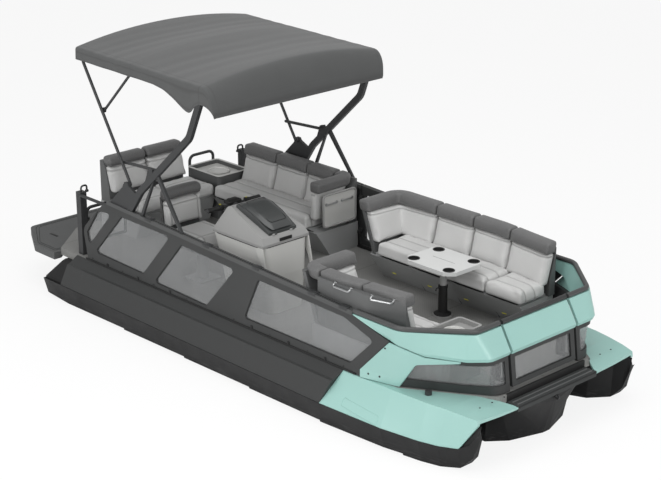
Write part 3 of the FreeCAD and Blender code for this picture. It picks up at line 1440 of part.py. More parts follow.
# Console
def console_plan(aft, front, half):
    turn = d.roll_round
    return [(aft, d.console_y - half, turn), (front, d.console_y - half, turn * 2),
            (front, d.console_y + half, turn * 2), (aft, d.console_y + half, turn)]


def console_body():
    body = new_body("ConsoleBody")
    foot = d.deck_top + d.seam
    middle = (d.console_shoulder - d.deck_top) * 0.55 + d.deck_top
    plan_loft(body, [
        (console_plan(d.console_foot_aft_x, d.console_foot_front_x, d.console_foot_half), foot),
        (console_plan((d.console_foot_aft_x + d.console_aft_x) / 2, d.console_foot_front_x,
                      (d.console_foot_half + d.console_half) / 2), middle),
        (console_plan(d.console_aft_x, d.console_front_x, d.console_half), d.console_shoulder)])
    return body


def hood_back_slope():
    """Lower and upper ends of the hood's slope that faces the helm."""
    edge = d.console_wall * 2
    return ((d.console_aft_x, d.console_shoulder + edge), (d.hood_rear_x - edge * 2, d.hood_rear - edge / 4))


def console_hood():
    body = new_body("ConsoleHood")
    low = d.console_shoulder + d.seam
    edge = d.console_wall * 2
    slope_low, slope_high = hood_back_slope()
    pad(body, outline(body, "XZ_Plane", [
        (d.console_aft_x, low), (d.console_front_x, low), (d.console_front_x, low + edge),
        (d.lid_front_x + edge / 2, d.hood_front), (d.hood_rear_x, d.hood_rear, edge),
        slope_high + (edge,), slope_low],
        -d.console_y), d.console_half * 2, both=True)
    side = d.console_half + d.overrun
    top = d.hood_rear + d.overrun
    for sign in (1, -1):
        near = d.console_y + d.console_half * sign
        far = d.console_y + side * sign
        head = d.console_y + d.hood_half * 0.78 * sign
        pocket(body, outline(body, "YZ_Plane", [
            (near, low + edge), (far, low + edge), (far, top), (head, top), (head, d.hood_rear)]))
    lid_eyes(body, -1)
    return body


def hood_slope(x, lift):
    """A point above the hood's sloping top."""
    fall = (d.hood_front - d.hood_rear) / (d.lid_front_x + d.console_wall - d.hood_rear_x)
    return (x, d.hood_rear + fall * (x - d.hood_rear_x) + lift)


def console_lid():
    body = new_body("ConsoleLid")
    rear = d.hood_rear_x + d.console_wall * 2
    pad(body, outline(body, "XZ_Plane", [
        hood_slope(rear, d.seam), hood_slope(d.lid_front_x, d.seam),
        hood_slope(d.lid_front_x, d.lid_thick * 0.4),
        hood_slope(d.lid_front_x - d.lid_thick * 3, d.lid_thick),
        hood_slope(rear + d.lid_thick * 2, d.lid_thick), hood_slope(rear, d.lid_thick * 0.5)],
        -d.console_y), d.lid_half * 2, both=True)
    lid_eyes(body, 1)
    return body


def lid_eyes(body, side):
    """Hinge eyes at the lid's front edge: the lid's on one side of each pair, the hood's on the other."""
    radius = d.lid_eye_radius
    x, z = hood_slope(d.lid_front_x + radius + d.seam * 2, radius + d.seam * 4)
    for half in (1, -1):
        middle = d.console_y + d.lid_eye_half * half
        start = middle + d.seam if side > 0 else middle - d.lid_eye_length - d.seam
        pad(body, disc(body, "XZ_Plane", (x, z), radius, -start - d.lid_eye_length), d.lid_eye_length)
        if side > 0:
            arm = [hood_slope(d.lid_front_x - radius, d.seam * 2), (x, z - radius), (x, z + radius),
                   hood_slope(d.lid_front_x - radius, radius * 2)]
        else:
            arm = [hood_slope(d.lid_front_x + d.seam * 2, -radius),
                   hood_slope(d.lid_front_x + radius * 2, -radius),
                   (x + radius, z), (x - radius, z)]
        pad(body, outline(body, "XZ_Plane", arm, -start - d.lid_eye_length), d.lid_eye_length)


def handlebar():
    """Column and bar in their own frame, then leant back to the helm."""
    body = new_body("Handlebar")
    pad(body, disc(body, "XY_Plane", (zero, zero), d.bar_column_radius, d.seam), d.bar_reach - d.seam)
    pad(body, disc(body, "XZ_Plane", (zero, d.bar_reach), d.bar_radius), d.bar_half * 2, both=True)
    for side in (1, -1):
        near = -d.bar_half if side > 0 else d.bar_half - d.grip_length
        pad(body, disc(body, "XZ_Plane", (zero, d.bar_reach), d.grip_radius, near), d.grip_length)
    low, high = hood_back_slope()
    return placed(body, (low[0] + high[0]) / 2, d.console_y, (low[1] + high[1]) / 2, (0, -1, 0),
                  lean_of(high[1] - low[1], high[0] - low[0]))


# Table
def table_top():
    body = new_body("TableTop")
    long = d.table_length / 2
    wide = d.table_width / 2
    cut = d.table_cut
    x, y = d.table_x, d.table_y
    pad(body, outline(body, "XY_Plane", [
        (x - long, y - wide + cut), (x - long + cut, y - wide), (x + long - cut, y - wide),
        (x + long, y - wide + cut), (x + long, y + wide - cut), (x + long - cut, y + wide),
        (x - long + cut, y + wide), (x - long, y + wide - cut)], d.table_top - d.table_thick), d.table_thick)
    for across in (1, -1):
        for along in (1, -1):
            pocket(body, disc(body, "XY_Plane", (x + d.table_cup_x * along, y + d.table_cup_y * across),
                              d.table_cup_radius, d.table_top), d.table_cup_depth)
    return body


def table_post():
    body = new_body("TablePost")
    low = d.deck_top + d.seam
    place = (d.table_x, d.table_y)
    pad(body, disc(body, "XY_Plane", place, d.table_flange_radius, low), d.table_flange_thick)
    pad(body, disc(body, "XY_Plane", place, d.table_sleeve_radius, low), d.table_sleeve_top - low)
    pad(body, disc(body, "XY_Plane", place, d.table_post_radius, low),
        d.table_top - d.table_thick - d.seam - low)
    return body


# Jet drive and engine
def jet_pump():
    body = new_body("JetPump")
    place = (zero, d.jet_height)
    aft = d.middle_transom_x - d.jet_length
    pad(body, disc(body, "YZ_Plane", place, d.jet_radius, aft), d.jet_length - d.seam)
    bore = disc(body, "YZ_Plane", place, d.jet_radius - d.jet_wall, aft + d.jet_length)
    pocket(body, bore, d.jet_length * 0.8)
    pocket(body, disc(body, "YZ_Plane", place, d.outlet_root - d.outlet_wall, aft + d.jet_length))
    reach = d.steer_gap + d.nozzle_boss + d.tab_half
    for low in (d.jet_height + d.jet_radius - d.jet_wall, d.jet_height - d.jet_radius):
        pad(body, outline(body, "XY_Plane", [
            (aft - reach, -d.tab_half), (aft + d.jet_wall, -d.tab_half),
            (aft + d.jet_wall, d.tab_half), (aft - reach, d.tab_half)], low), d.jet_wall)
    loft(body, [disc(body, "YZ_Plane", place, d.outlet_root, aft),
                disc(body, "YZ_Plane", place, d.outlet_mouth, aft - d.outlet_reach)])
    bore = body.newObject("PartDesign::SubtractiveLoft", "Outlet")
    bore.Profile = disc(body, "YZ_Plane", place, d.outlet_root - d.outlet_wall, aft)
    bore.Sections = [disc(body, "YZ_Plane", place, d.outlet_mouth - d.outlet_wall, aft - d.outlet_reach)]
    bore.Ruled = True
    return body


def impeller():
    body = new_body("Impeller")
    place = (zero, d.jet_height)
    start = d.middle_transom_x - d.jet_length * 0.6
    pad(body, disc(body, "YZ_Plane", place, d.impeller_hub, start), d.impeller_length)
    pad(body, disc(body, "YZ_Plane", place, d.shaft_radius, start + d.impeller_length / 2),
        d.middle_transom_x - d.seam - start - d.impeller_length / 2)
    low = d.jet_height + d.impeller_hub * 0.8
    high = d.jet_height + d.impeller_radius
    half = d.impeller_radius * 0.28
    thick = d.blade_thick
    blade = loft(body, [
        outline(body, "YZ_Plane", [(half, low), (half + thick, low), (half + thick, high - half * 0.5),
                                   (half, high - half * 0.5)],
                start + thick),
        outline(body, "YZ_Plane", [(-half - thick, low), (-half, low), (-half, high - half * 0.5),
                                   (-half - thick, high - half * 0.5)],
                start + d.impeller_length - thick)])
    ring = body.newObject("PartDesign::PolarPattern", "Blades")
    ring.Originals = [blade]
    ring.Axis = (impeller_axis(body, place), ["N_Axis"])
    ring.Angle = 360.0
    ring.Occurrences = 4
    body.Tip = ring
    return body


def impeller_axis(body, place):
    """A sketch whose normal is the shaft line."""
    sketch = body.newObject("Sketcher::SketchObject", "Shaft")
    sketch.AttachmentSupport = [(plane(body, "YZ_Plane"), "")]
    sketch.MapMode = "FlatFace"
    bind(sketch, "AttachmentOffset.Base.x", zero)
    sketch.setExpression("AttachmentOffset.Base.y", place[1].text)
    return sketch


def nozzle_start():
    """Where the steering nozzle's wide end lies behind the pump."""
    return d.middle_transom_x - d.jet_length - d.steer_gap


def bucket_pivot_x():
    start = nozzle_start()
    return start - d.nozzle_length + d.bucket_drop - d.bucket_thick * 2


def jet_nozzle():
    body = new_body("JetNozzle")
    start = nozzle_start()
    place = (zero, d.jet_height)
    loft(body, [disc(body, "YZ_Plane", place, d.nozzle_root, start),
                disc(body, "YZ_Plane", place, d.nozzle_mouth, start - d.nozzle_length)])
    boss = d.jet_radius - d.jet_wall - d.seam
    pad(body, disc(body, "XY_Plane", (start - d.nozzle_boss, zero), d.nozzle_boss, d.jet_height),
        boss * 2, both=True)
    side = d.bucket_half - d.bucket_thick - d.seam
    pad(body, disc(body, "XZ_Plane", (bucket_pivot_x(), d.jet_height), d.nozzle_boss), side * 2, both=True)
    hole = body.newObject("PartDesign::SubtractiveLoft", "Bore")
    wall = d.nozzle_wall
    over = d.overrun / 30
    hole.Profile = disc(body, "YZ_Plane", place, d.nozzle_root - wall, start + over)
    hole.Sections = [disc(body, "YZ_Plane", place, d.nozzle_mouth - wall, start - d.nozzle_length - over)]
    hole.Ruled = True
    return body


def reverse_bucket():
    """A curved scoop held above the nozzle on two side arms."""
    body = new_body("ReverseBucket")
    tip = nozzle_start() - d.nozzle_length
    top = d.jet_height + d.nozzle_root + d.run_gap * 2
    thick = d.bucket_thick
    half = d.bucket_half
    drop = d.bucket_drop
    pad(body, outline(body, "XZ_Plane", [
        (tip + thick, top), (tip + thick, top + thick), (tip - drop, top + thick),
        (tip - drop - thick, top + drop / 2), (tip - drop - thick * 2, top + drop / 2),
        (tip - drop - thick * 1.5, top)]), half * 2, both=True)
    for side in (1, -1):
        near = -half if side > 0 else half - thick
        pad(body, outline(body, "XZ_Plane", [
            (tip + drop, d.jet_height + thick * 2), (tip + drop, d.jet_height - thick * 2),
            (tip + drop / 2, d.jet_height - thick * 2), (tip - thick, top), (tip - thick, top + thick),
            (tip + thick, top + thick)], near), thick)
    return body


def engine_block():
    body = new_body("EngineBlock")
    low = d.hull_top - d.engine_height - d.engine_room_gap + d.seam
    half = d.engine_width / 2
    front = d.engine_aft_x + d.engine_length
    return box(body, d.engine_aft_x, front, -half, half, low, low + d.engine_height)


# Fittings
def cleat():
    body = new_body("Cleat")
    row = bow_station_shares[2]
    low = d.deck_top * row[6] - d.cleat_sink
    pad(body, disc(body, "XY_Plane", (d.cleat_x, d.cleat_y), d.cleat_radius, low), d.cleat_height)
    return body


def bow_eye():
    body = new_body("BowEye")
    start = d.middle_stem_x + d.seam
    ring = disc(body, "XZ_Plane", (start + d.eye_radius, d.eye_height), d.eye_radius)
    pad(body, ring, d.eye_thick, both=True)
    pocket(body, disc(body, "XZ_Plane", (start + d.eye_radius, d.eye_height), d.eye_bore))
    return body


both_sides("hull_sponsons", sponson())
node("hull_middle", middle_hull())
both_sides("side_panels", side_panel())
both_sides("bow_covers", bow_cover())
node("deck", deck())
node("bow_step", bow_step())
node("swim_platform", swim_platform())


both_sides_wall = [wall((0, 1, 3), True), mirrored(wall((0, 1, 2, 3), False), "WallOther")]
node("wall_port", both_sides_wall[0])
node("wall_starboard", both_sides_wall[1])
together("window_panes", panes())
together("side_rails", [side_rail(True), mirrored(side_rail(False), "RailOther")])
rail = bow_rail()
together("bow_rails", [rail, mirrored(rail, "BowRailOther"), gate_hinge()])
both_sides("bow_fairings", bow_fairing())
both_sides("bow_panes", bow_pane())
both_sides("quarter_panels", quarter_panel())
both_sides("bow_bands", bow_band())
node("bow_gate_frame", bow_gate_frame())
node("bow_gate_band", bow_gate_band())
node("bow_gate_pane", bow_gate_pane())
node("side_gate_frame", side_gate_frame())
node("side_gate_pane", side_gate_pane())
together("stern_frame", stern_frame())
node("stern_gate", stern_gate())


arch = bimini_arch()
together("bimini_arch", [arch, mirrored(arch, "ArchOther"), fore_bow()])
both_sides("bimini_gussets", bimini_gusset())
strut = bimini_strut(d.strut_foot_x, 0.331, "Strut")
brace = bimini_strut(d.brace_foot_x, 0.2325, "Brace")
together("bimini_struts", [strut, mirrored(strut, "StrutOther"), brace, mirrored(brace, "BraceOther")])
node("bimini_leg", bimini_leg())
node("bimini_mid_bow", bimini_mid_bow())
both_sides("bimini_links", bimini_link())
node("canopy", canopy())
node("sofa_aft_base", sofa_aft_base())
node("sofa_aft_seat", sofa_aft_seat())
node("sofa_aft_back", sofa_aft_back())
node("sofa_bow_base", bow_base("SofaBowBase", d.bow_sofa_aft_x))
node("sofa_bow_seat", bow_seat("SofaBowSeat", d.bow_sofa_aft_x))
node("sofa_bow_back", bow_back("SofaBowBack", d.bow_sofa_aft_x))
node("bench_base", bench_base())
node("bench_seat", bench_seat())
node("bench_back", bench_back())
node("corner_unit", corner_unit())
node("lounge_base", mirrored(bow_base("LoungeBase", d.lounge_aft_x), "LoungeBaseSide"))
node("lounge_seat", mirrored(bow_seat("LoungeSeat", d.lounge_aft_x), "LoungeSeatSide"))
node("lounge_back", mirrored(bow_back("LoungeBack", d.lounge_aft_x), "LoungeBackSide"))
node("lounge_pod", lounge_pod())
node("helm_pedestal", helm_pedestal())
node("helm_seat", helm_seat())
node("helm_back", helm_back())
node("console_body", console_body())
node("console_hood", console_hood())
node("console_lid", console_lid())
node("handlebar", handlebar())
node("table_top", table_top())
node("table_post", table_post())
node("jet_pump", jet_pump())
node("impeller", impeller())
node("jet_nozzle", jet_nozzle())
node("reverse_bucket", reverse_bucket())
node("engine_block", engine_block())
cleats = cleat()
together("fittings", [cleats, mirrored(cleats, "CleatOther"), bow_eye()])


def finish():
    """Check every object, then write each node's solids."""
    doc.recompute()
    bad = [o.Label for o in doc.Objects if "Invalid" in o.State or "Error" in o.State]
    for name, thing in nodes.items():
        shape = thing.Shape
        if shape.isNull() or not shape.isValid() or not shape.Solids:
            bad.append(name)
    if bad:
        raise SystemExit("failed: " + ", ".join(bad))
    os.makedirs("parts", exist_ok=True)
    for name, thing in nodes.items():
        thing.Shape.exportStep("parts/%s.step" % name)
    print("%d nodes" % len(nodes))


finish()
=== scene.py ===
import math

import bmesh
import bpy
from mathutils import Matrix, Vector
from mathutils.bvhtree import BVHTree


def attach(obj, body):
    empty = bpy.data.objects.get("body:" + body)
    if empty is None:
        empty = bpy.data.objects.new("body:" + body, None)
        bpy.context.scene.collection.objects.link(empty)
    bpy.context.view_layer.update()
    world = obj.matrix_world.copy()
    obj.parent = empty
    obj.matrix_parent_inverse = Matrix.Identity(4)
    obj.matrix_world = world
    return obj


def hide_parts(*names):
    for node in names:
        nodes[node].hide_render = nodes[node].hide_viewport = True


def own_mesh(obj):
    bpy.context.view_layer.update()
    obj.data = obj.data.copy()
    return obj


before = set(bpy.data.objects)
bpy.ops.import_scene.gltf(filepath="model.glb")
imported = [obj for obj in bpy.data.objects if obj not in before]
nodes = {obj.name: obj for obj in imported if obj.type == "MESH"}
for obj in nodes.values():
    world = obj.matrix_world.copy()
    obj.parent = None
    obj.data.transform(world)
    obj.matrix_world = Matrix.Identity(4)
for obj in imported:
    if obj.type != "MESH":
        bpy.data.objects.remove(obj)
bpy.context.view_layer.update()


# Shader maths
class Wire:
    """One output in a finish's node tree. Arithmetic on it adds Math nodes."""

    def __init__(self, finish, socket):
        self.finish = finish
        self.socket = socket

    def math(self, operation, first, second=0.0):
        return self.finish.make("ShaderNodeMath", {"operation": operation}, {0: first, 1: second})

    def __add__(self, other):
        return self.math("ADD", self, other)

    def __radd__(self, other):
        return self.math("ADD", other, self)

    def __sub__(self, other):
        return self.math("SUBTRACT", self, other)

    def __rsub__(self, other):
        return self.math("SUBTRACT", other, self)

    def __mul__(self, other):
        return self.math("MULTIPLY", self, other)

    def __rmul__(self, other):
        return self.math("MULTIPLY", other, self)

    def __truediv__(self, other):
        return self.math("DIVIDE", self, other)

    def fraction(self):
        return self.math("FRACT", self)

    def size(self):
        return self.math("ABSOLUTE", self)

    def most(self, other):
        return self.math("MAXIMUM", self, other)

    def from_lines(self, pitch, start=0.0):
        """0 on each of a row of evenly spaced lines, and 0.5 halfway between them."""
        share = self / pitch
        if start:
            share = share + start
        return (share.fraction() - 0.5).size()


class Finish:
    """One material: a Principled shader and a single way of adding nodes to it."""

    def __init__(self, name, **uniform):
        self.material = bpy.data.materials.new(name)
        self.material.use_nodes = True
        self.tree = self.material.node_tree
        self.shader = self.tree.nodes["Principled BSDF"]
        for socket, value in uniform.items():
            self.feed(socket.replace("_", " "), value)

    def make(self, kind, settings, sockets, output=0):
        node = self.tree.nodes.new(kind)
        for name, value in settings.items():
            if name == "stops":
                for index, (position, colour) in enumerate(value):
                    ramp = node.color_ramp.elements
                    stop = ramp[index] if index < len(ramp) else ramp.new(position)
                    stop.position = position
                    stop.color = colour
            else:
                setattr(node, name, value)
        for key, value in sockets.items():
            self.join(node.inputs[key], value)
        return Wire(self, node.outputs[output])

    def join(self, socket, value):
        if isinstance(value, Wire):
            self.tree.links.new(value.socket, socket)
        else:
            socket.default_value = value

    def feed(self, socket, value):
        self.join(self.shader.inputs[socket], value)

    def place(self):
        return self.make("ShaderNodeTexCoord", {}, {}, "Object")

    def axes(self):
        place = self.place()
        return [self.make("ShaderNodeSeparateXYZ", {}, {0: place}, axis) for axis in "XYZ"]

    def noise(self, scale, detail=3.0, stretch=None):
        place = self.place()
        if stretch is not None:
            place = self.make("ShaderNodeMapping", {}, {"Vector": place, "Scale": stretch})
        return self.make("ShaderNodeTexNoise", {}, {"Vector": place, "Scale": scale, "Detail": detail})

    def speckle(self, scale):
        return self.make("ShaderNodeTexVoronoi", {}, {"Vector": self.place(), "Scale": scale})

    def mix(self, share, first, second):
        sockets = {0: share, 6: first, 7: second}
        return self.make("ShaderNodeMix", {"data_type": "RGBA"}, sockets, 2)

    def level(self, value, low, high, low_out, high_out):
        sockets = {0: value, 1: low, 2: high, 3: low_out, 4: high_out}
        return self.make("ShaderNodeMapRange", {}, sockets)

    def gloss(self, source, low, high):
        """Roughness from low to high over the middle of a noise's range."""
        self.feed("Roughness", self.level(source, 0.3, 0.7, low, high))

    def bump(self, height, depth, strength):
        sockets = {"Height": height, "Distance": depth, "Strength": strength}
        self.feed("Normal", self.make("ShaderNodeBump", {}, sockets))

    def layer(self, name):
        return self.make("ShaderNodeAttribute", {"attribute_name": name}, {}, "Fac")


def paint(red, green, blue):
    """A colour as a screen shows it, 0 to 255, in the shader's linear numbers."""
    linear = []
    for part in (red, green, blue):
        share = part / 255
        linear.append(share / 12.92 if share <= 0.04045 else ((share + 0.055) / 1.055) ** 2.4)
    return (*linear, 1.0)


def shade(colour, factor):
    return (colour[0] * factor, colour[1] * factor, colour[2] * factor, 1.0)


def grained(name, colour, roughness, grain, depth, spread=0.08, **uniform):
    """A moulded or coated surface: faint cloudy colour, a fine grain and uneven gloss."""
    finish = Finish(name, **uniform)
    cloud = finish.noise(3.0, 4.0)
    fine = finish.noise(grain, 2.0)
    tone = finish.mix(cloud, shade(colour, 1 - spread), shade(colour, 1 + spread))
    finish.feed("Base Color", finish.mix(fine * 0.25, tone, shade(colour, 1 - 2 * spread)))
    finish.gloss(cloud, roughness - 0.05, roughness + 0.06)
    finish.bump(fine, depth, 0.35)
    return finish


def hull_plastic():
    """Rotomoulded hull: near black, softly scuffed along its lowest edges."""
    finish = Finish("hull_plastic", Specular_IOR_Level=0.35)
    height = finish.axes()[2]
    scuff = finish.noise(26.0, 5.0, (0.2, 1.0, 3.0))
    low = finish.level(height, 0.02, 0.10, 1.0, 0.0)
    worn = finish.level(scuff, 0.52, 0.70, 0.0, 1.0) * low
    base = finish.mix(finish.noise(2.0), paint(15, 15, 16), paint(21, 21, 22))
    finish.feed("Base Color", finish.mix(worn * 0.5, base, paint(74, 74, 74)))
    finish.gloss(finish.noise(5.0), 0.42, 0.56)
    finish.bump(finish.noise(420.0, 2.0), 0.0006, 0.5)
    return finish


def teal_gelcoat():
    """Glossy pale teal gelcoat with a very slight orange peel."""
    finish = Finish("teal_gelcoat", Coat_Roughness=0.12)
    cloud = finish.noise(1.6, 3.0)
    finish.feed("Base Color", finish.mix(cloud, paint(143, 184, 177), paint(152, 193, 186)))
    finish.gloss(finish.noise(9.0), 0.36, 0.46)
    finish.feed("Coat Weight", finish.level(cloud, 0.2, 0.8, 0.25, 0.4))
    finish.bump(finish.noise(160.0, 1.0), 0.0005, 0.25)
    return finish


def side_plastic():
    """Long dark side moulding: satin with a fine spark grain and faint mould joints."""
    finish = Finish("side_plastic", Specular_IOR_Level=0.4)
    along = finish.axes()[0]
    joint = along.from_lines(1.15)
    line = finish.level(joint, 0.0, 0.0022, 1.0, 0.0)
    cloud = finish.noise(2.2, 4.0)
    tone = finish.mix(cloud, paint(46, 47, 47), paint(52, 53, 53))
    finish.feed("Base Color", finish.mix(line * 0.55, tone, paint(46, 46, 46)))
    finish.gloss(cloud, 0.46, 0.58)
    finish.bump(finish.noise(600.0, 2.0) * 0.4 - line * 2.0, 0.0012, 0.4)
    return finish


def deck_tread():
    """Moulded deck tiles: joints along and across, and a diamond tread."""
    finish = Finish("deck_tread", Specular_IOR_Level=0.3)
    diamond = 0.026
    along, across = finish.axes()[:2]
    joint = along.from_lines(0.61, 0.25)
    keel = across.from_lines(1.2, 0.5)
    line = finish.level(joint, 0.0, 0.006, 1.0, 0.0).most(finish.level(keel, 0.0, 0.003, 1.0, 0.0))
    rising = (along + across).from_lines(diamond)
    falling = (along - across).from_lines(diamond)
    tread = finish.level(rising.most(falling), 0.36, 0.5, 0.0, 1.0)
    cloud = finish.noise(2.4, 4.0)
    tone = finish.mix(cloud, paint(124, 124, 122), paint(134, 134, 132))
    tone = finish.mix(tread * 0.35, tone, paint(96, 96, 95))
    finish.feed("Base Color", finish.mix(line * 0.8, tone, paint(62, 62, 62)))
    finish.gloss(cloud, 0.6, 0.75)
    finish.bump(finish.noise(380.0, 2.0) * 0.3 - tread * 0.5 - line * 2.0, 0.0022, 0.5)
    return finish


def platform_tread(name, colour):
    """Foam tread pads: fine fore and aft ribs over a soft grain."""
    finish = Finish(name, Specular_IOR_Level=0.3)
    across = finish.axes()[1]
    rib = across.from_lines(0.012)
    groove = finish.level(rib, 0.0, 0.12, 1.0, 0.0)
    cloud = finish.noise(4.0, 4.0)
    tone = finish.mix(cloud, shade(colour, 0.93), shade(colour, 1.07))
    finish.feed("Base Color", finish.mix(groove * 0.3, tone, shade(colour, 0.6)))
    finish.gloss(cloud, 0.62, 0.76)
    finish.bump(finish.noise(500.0, 2.0) * 0.3 - groove, 0.001, 0.4)
    return finish


def smoked_pane():
    """Smoked acrylic with faint wipe marks."""
    finish = Finish("smoked_pane", Specular_IOR_Level=0.6, Base_Color=paint(150, 152, 153))
    haze = finish.noise(7.0, 4.0, (1.0, 1.0, 0.25))
    finish.feed("Alpha", finish.level(haze, 0.3, 0.75, 0.26, 0.36))
    finish.gloss(haze, 0.05, 0.14)
    return finish


def canopy_cloth():
    """Tight acrylic weave, slightly mottled, with sewn seams from the sheet's own layer, dented in the bump
    and darkened with painted shade.
    """
    finish = Finish("canopy_cloth", Specular_IOR_Level=0.15, Sheen_Weight=0.25, Sheen_Roughness=0.5)
    thread = 0.0032
    along, across = finish.axes()[:2]
    warp = along.from_lines(thread)
    weft = across.from_lines(thread)
    weave = warp.most(weft)
    seam = finish.layer("seam")
    cloud = finish.noise(3.5, 5.0)
    tone = finish.mix(cloud, paint(74, 75, 75), paint(83, 84, 84))
    tone = finish.mix(weave * 0.3, tone, paint(64, 65, 65))
    # The seam layer darkens the colour with painted shade along the seams; the bump dents them.
    finish.feed("Base Color", finish.mix(seam * 0.6, tone, paint(58, 58, 58)))
    finish.gloss(cloud, 0.78, 0.9)
    finish.bump(weave * 0.5 + cloud * 0.8 - seam * 1.5, 0.0016, 0.4)
    return finish


def vinyl(name, low, high, grain, depth, speck=0.0):
    """Marine vinyl: pebbled grain, soft creases, and painted shade along the sewn seams from the cushion's
    layer.
    """
    finish = Finish(name, Specular_IOR_Level=0.4, Sheen_Weight=0.1)
    seam = finish.layer("seam")
    cloud = finish.noise(4.5, 4.0)
    pebble = finish.speckle(grain)
    tone = finish.mix(cloud, low, high)
    if speck:
        fleck = finish.noise(grain * 0.55, 2.0)
        tone = finish.mix(finish.level(fleck, 0.42, 0.60, 0.0, speck), tone, shade(high, 1.55))
    # The seam layer darkens the colour: painted shade along the sewn seams.
    finish.feed("Base Color", finish.mix(seam * 0.6, tone, shade(low, 0.35)))
    finish.gloss(cloud, 0.44, 0.56)
    finish.bump(pebble * 0.5 + finish.noise(16.0, 3.0) * 0.6, depth, 0.35)
    return finish


hull_black = hull_plastic()
teal = teal_gelcoat()
side_grey = side_plastic()
deck_grey = deck_tread()
pad_grey = platform_tread("platform_pads", paint(88, 89, 89))
pad_dark = platform_tread("step_pads", paint(58, 60, 60))
wall_grey = grained("wall_paint", paint(50, 51, 51), roughness=0.48, grain=500.0, depth=0.0004, spread=0.05,
                    Specular_IOR_Level=0.4)
frame_black = grained("frame_coat", paint(50, 51, 52), roughness=0.5, grain=700.0, depth=0.0004,
                      spread=0.06, Specular_IOR_Level=0.45)
rail_dark = grained("rail_coat", paint(66, 67, 67), roughness=0.42, grain=600.0, depth=0.0003, spread=0.05)
rubber = grained("black_rubber", paint(20, 20, 20), roughness=0.62, grain=350.0, depth=0.0004, spread=0.08)
pane = smoked_pane()
cloth = canopy_cloth()
light_vinyl = vinyl("light_vinyl", paint(184, 184, 183), paint(197, 197, 196), grain=520.0, depth=0.0007)
roll_vinyl = vinyl("roll_vinyl", paint(82, 82, 82), paint(94, 94, 94), grain=420.0, depth=0.0009, speck=0.5)
moulding_grey = grained("grey_moulding", paint(150, 150, 149), roughness=0.42, grain=320.0, depth=0.0004,
                        spread=0.04)
moulding_dark = grained("dark_moulding", paint(88, 89, 89), roughness=0.5, grain=320.0, depth=0.0005,
                        spread=0.06)
moulding_light = grained("light_moulding", paint(196, 196, 193), roughness=0.34, grain=260.0, depth=0.0003,
                         spread=0.03, Coat_Weight=0.2)
table_white = grained("table_moulding", paint(206, 207, 206), roughness=0.45, grain=480.0, depth=0.0006,
                      spread=0.03)
base_dark = grained("base_moulding", paint(150, 151, 151), roughness=0.55, grain=300.0, depth=0.0006,
                    spread=0.06)
lid_dark = grained("lid_moulding", paint(62, 64, 64), roughness=0.36, grain=240.0, depth=0.0003,
                   spread=0.05, Coat_Weight=0.15)
steel = grained("plain_steel", paint(176, 177, 178), roughness=0.3, grain=90.0, depth=0.0002, spread=0.05,
                Metallic=0.9)
cast_metal = grained("cast_metal", paint(120, 121, 122), roughness=0.55, grain=120.0, depth=0.0008,
                     spread=0.08, Metallic=0.6)
tab_yellow = grained("tab_yellow", paint(214, 208, 20), roughness=0.45, grain=300.0, depth=0.0003,
                     spread=0.04)

node_finishes = {
    hull_black: ["hull_sponsons", "hull_middle"],
    teal: ["bow_covers", "quarter_panels", "bow_bands", "bow_gate_band"],
    side_grey: ["side_panels"],
    deck_grey: ["deck"],
    pad_grey: ["swim_platform"],
    pad_dark: ["bow_step"],
    wall_grey: ["wall_port", "wall_starboard", "bow_fairings", "bow_gate_frame", "side_gate_frame"],
    rail_dark: ["side_rails", "bow_rails"],
    frame_black: ["stern_frame", "fittings", "stern_gate", "bimini_arch", "bimini_gussets", "bimini_struts",
                  "bimini_leg", "bimini_mid_bow", "bimini_links", "handlebar", "jet_pump", "jet_nozzle",
                  "reverse_bucket"],
    pane: ["window_panes", "bow_panes", "bow_gate_pane", "side_gate_pane"],
    base_dark: ["sofa_aft_base", "sofa_bow_base", "bench_base", "lounge_base", "helm_pedestal"],
    moulding_grey: ["lounge_pod", "console_hood", "table_post"],
    moulding_dark: ["corner_unit"],
    moulding_light: ["console_body"],
    table_white: ["table_top"],
    lid_dark: ["console_lid"],
    steel: ["impeller"],
    cast_metal: ["engine_block"],
}

# The record's material slot for each finish that the added pieces wear
slots = {
    teal: "teal_gloss",
    frame_black: "frame_black",
    rubber: "frame_black",
    cloth: "canopy_fabric",
    light_vinyl: "vinyl_light",
    roll_vinyl: "vinyl_dark",
    moulding_grey: "moulding_grey",
    moulding_dark: "base_dark",
    moulding_light: "moulding_light",
    lid_dark: "lid_dark",
    steel: "steel_plain",
}

for finish, names in node_finishes.items():
    for name in names:
        for holder in nodes[name].material_slots:
            holder.material = finish.material


# Making pieces
merge_distance = 1e-5
sharp_angle = math.radians(35)
both_sides = (-1, 1)
upward = (0, 0, 1)


def put(name, data):
    """A new object in the scene."""
    thing = bpy.data.objects.new(name, data)
    bpy.context.scene.collection.objects.link(thing)
    return thing


def mesh_of(name, points, faces=()):
    mesh = bpy.data.meshes.new(name)
    mesh.from_pydata([tuple(point) for point in points], [], faces)
    return mesh


def face_outwards(mesh):
    work = bmesh.new()
    work.from_mesh(mesh)
    bmesh.ops.recalc_face_normals(work, faces=work.faces)
    work.to_mesh(mesh)
    work.free()


def mark_seams(mesh, marks):
    """Writes how strongly each point is sewn, for the finish to read and darken as painted shade."""
    layer = mesh.attributes.new("seam", "FLOAT", "POINT")
    for place, mark in zip(layer.data, marks):
        place.value = mark


def baked(rough, name):
    """The mesh of an object as its modifiers leave it. The object itself is removed."""
    depsgraph = bpy.context.evaluated_depsgraph_get()
    mesh = bpy.data.meshes.new_from_object(rough.evaluated_get(depsgraph))
    bpy.data.objects.remove(rough)
    mesh.name = name
    return mesh


def softened(name, mesh, thickness=0.0):
    """A mesh subdivided once, after a single sheet has been given its thickness."""
    for polygon in mesh.polygons:
        polygon.use_smooth = True
    rough = put(name + "_rough", mesh)
    if thickness:
        thick = rough.modifiers.new("Thick", "SOLIDIFY")
        thick.thickness = thickness
        thick.offset = 0.0
    smooth = rough.modifiers.new("Smooth", "SUBSURF")
    smooth.levels = 1
    smooth.render_levels = 1
    return baked(rough, name)


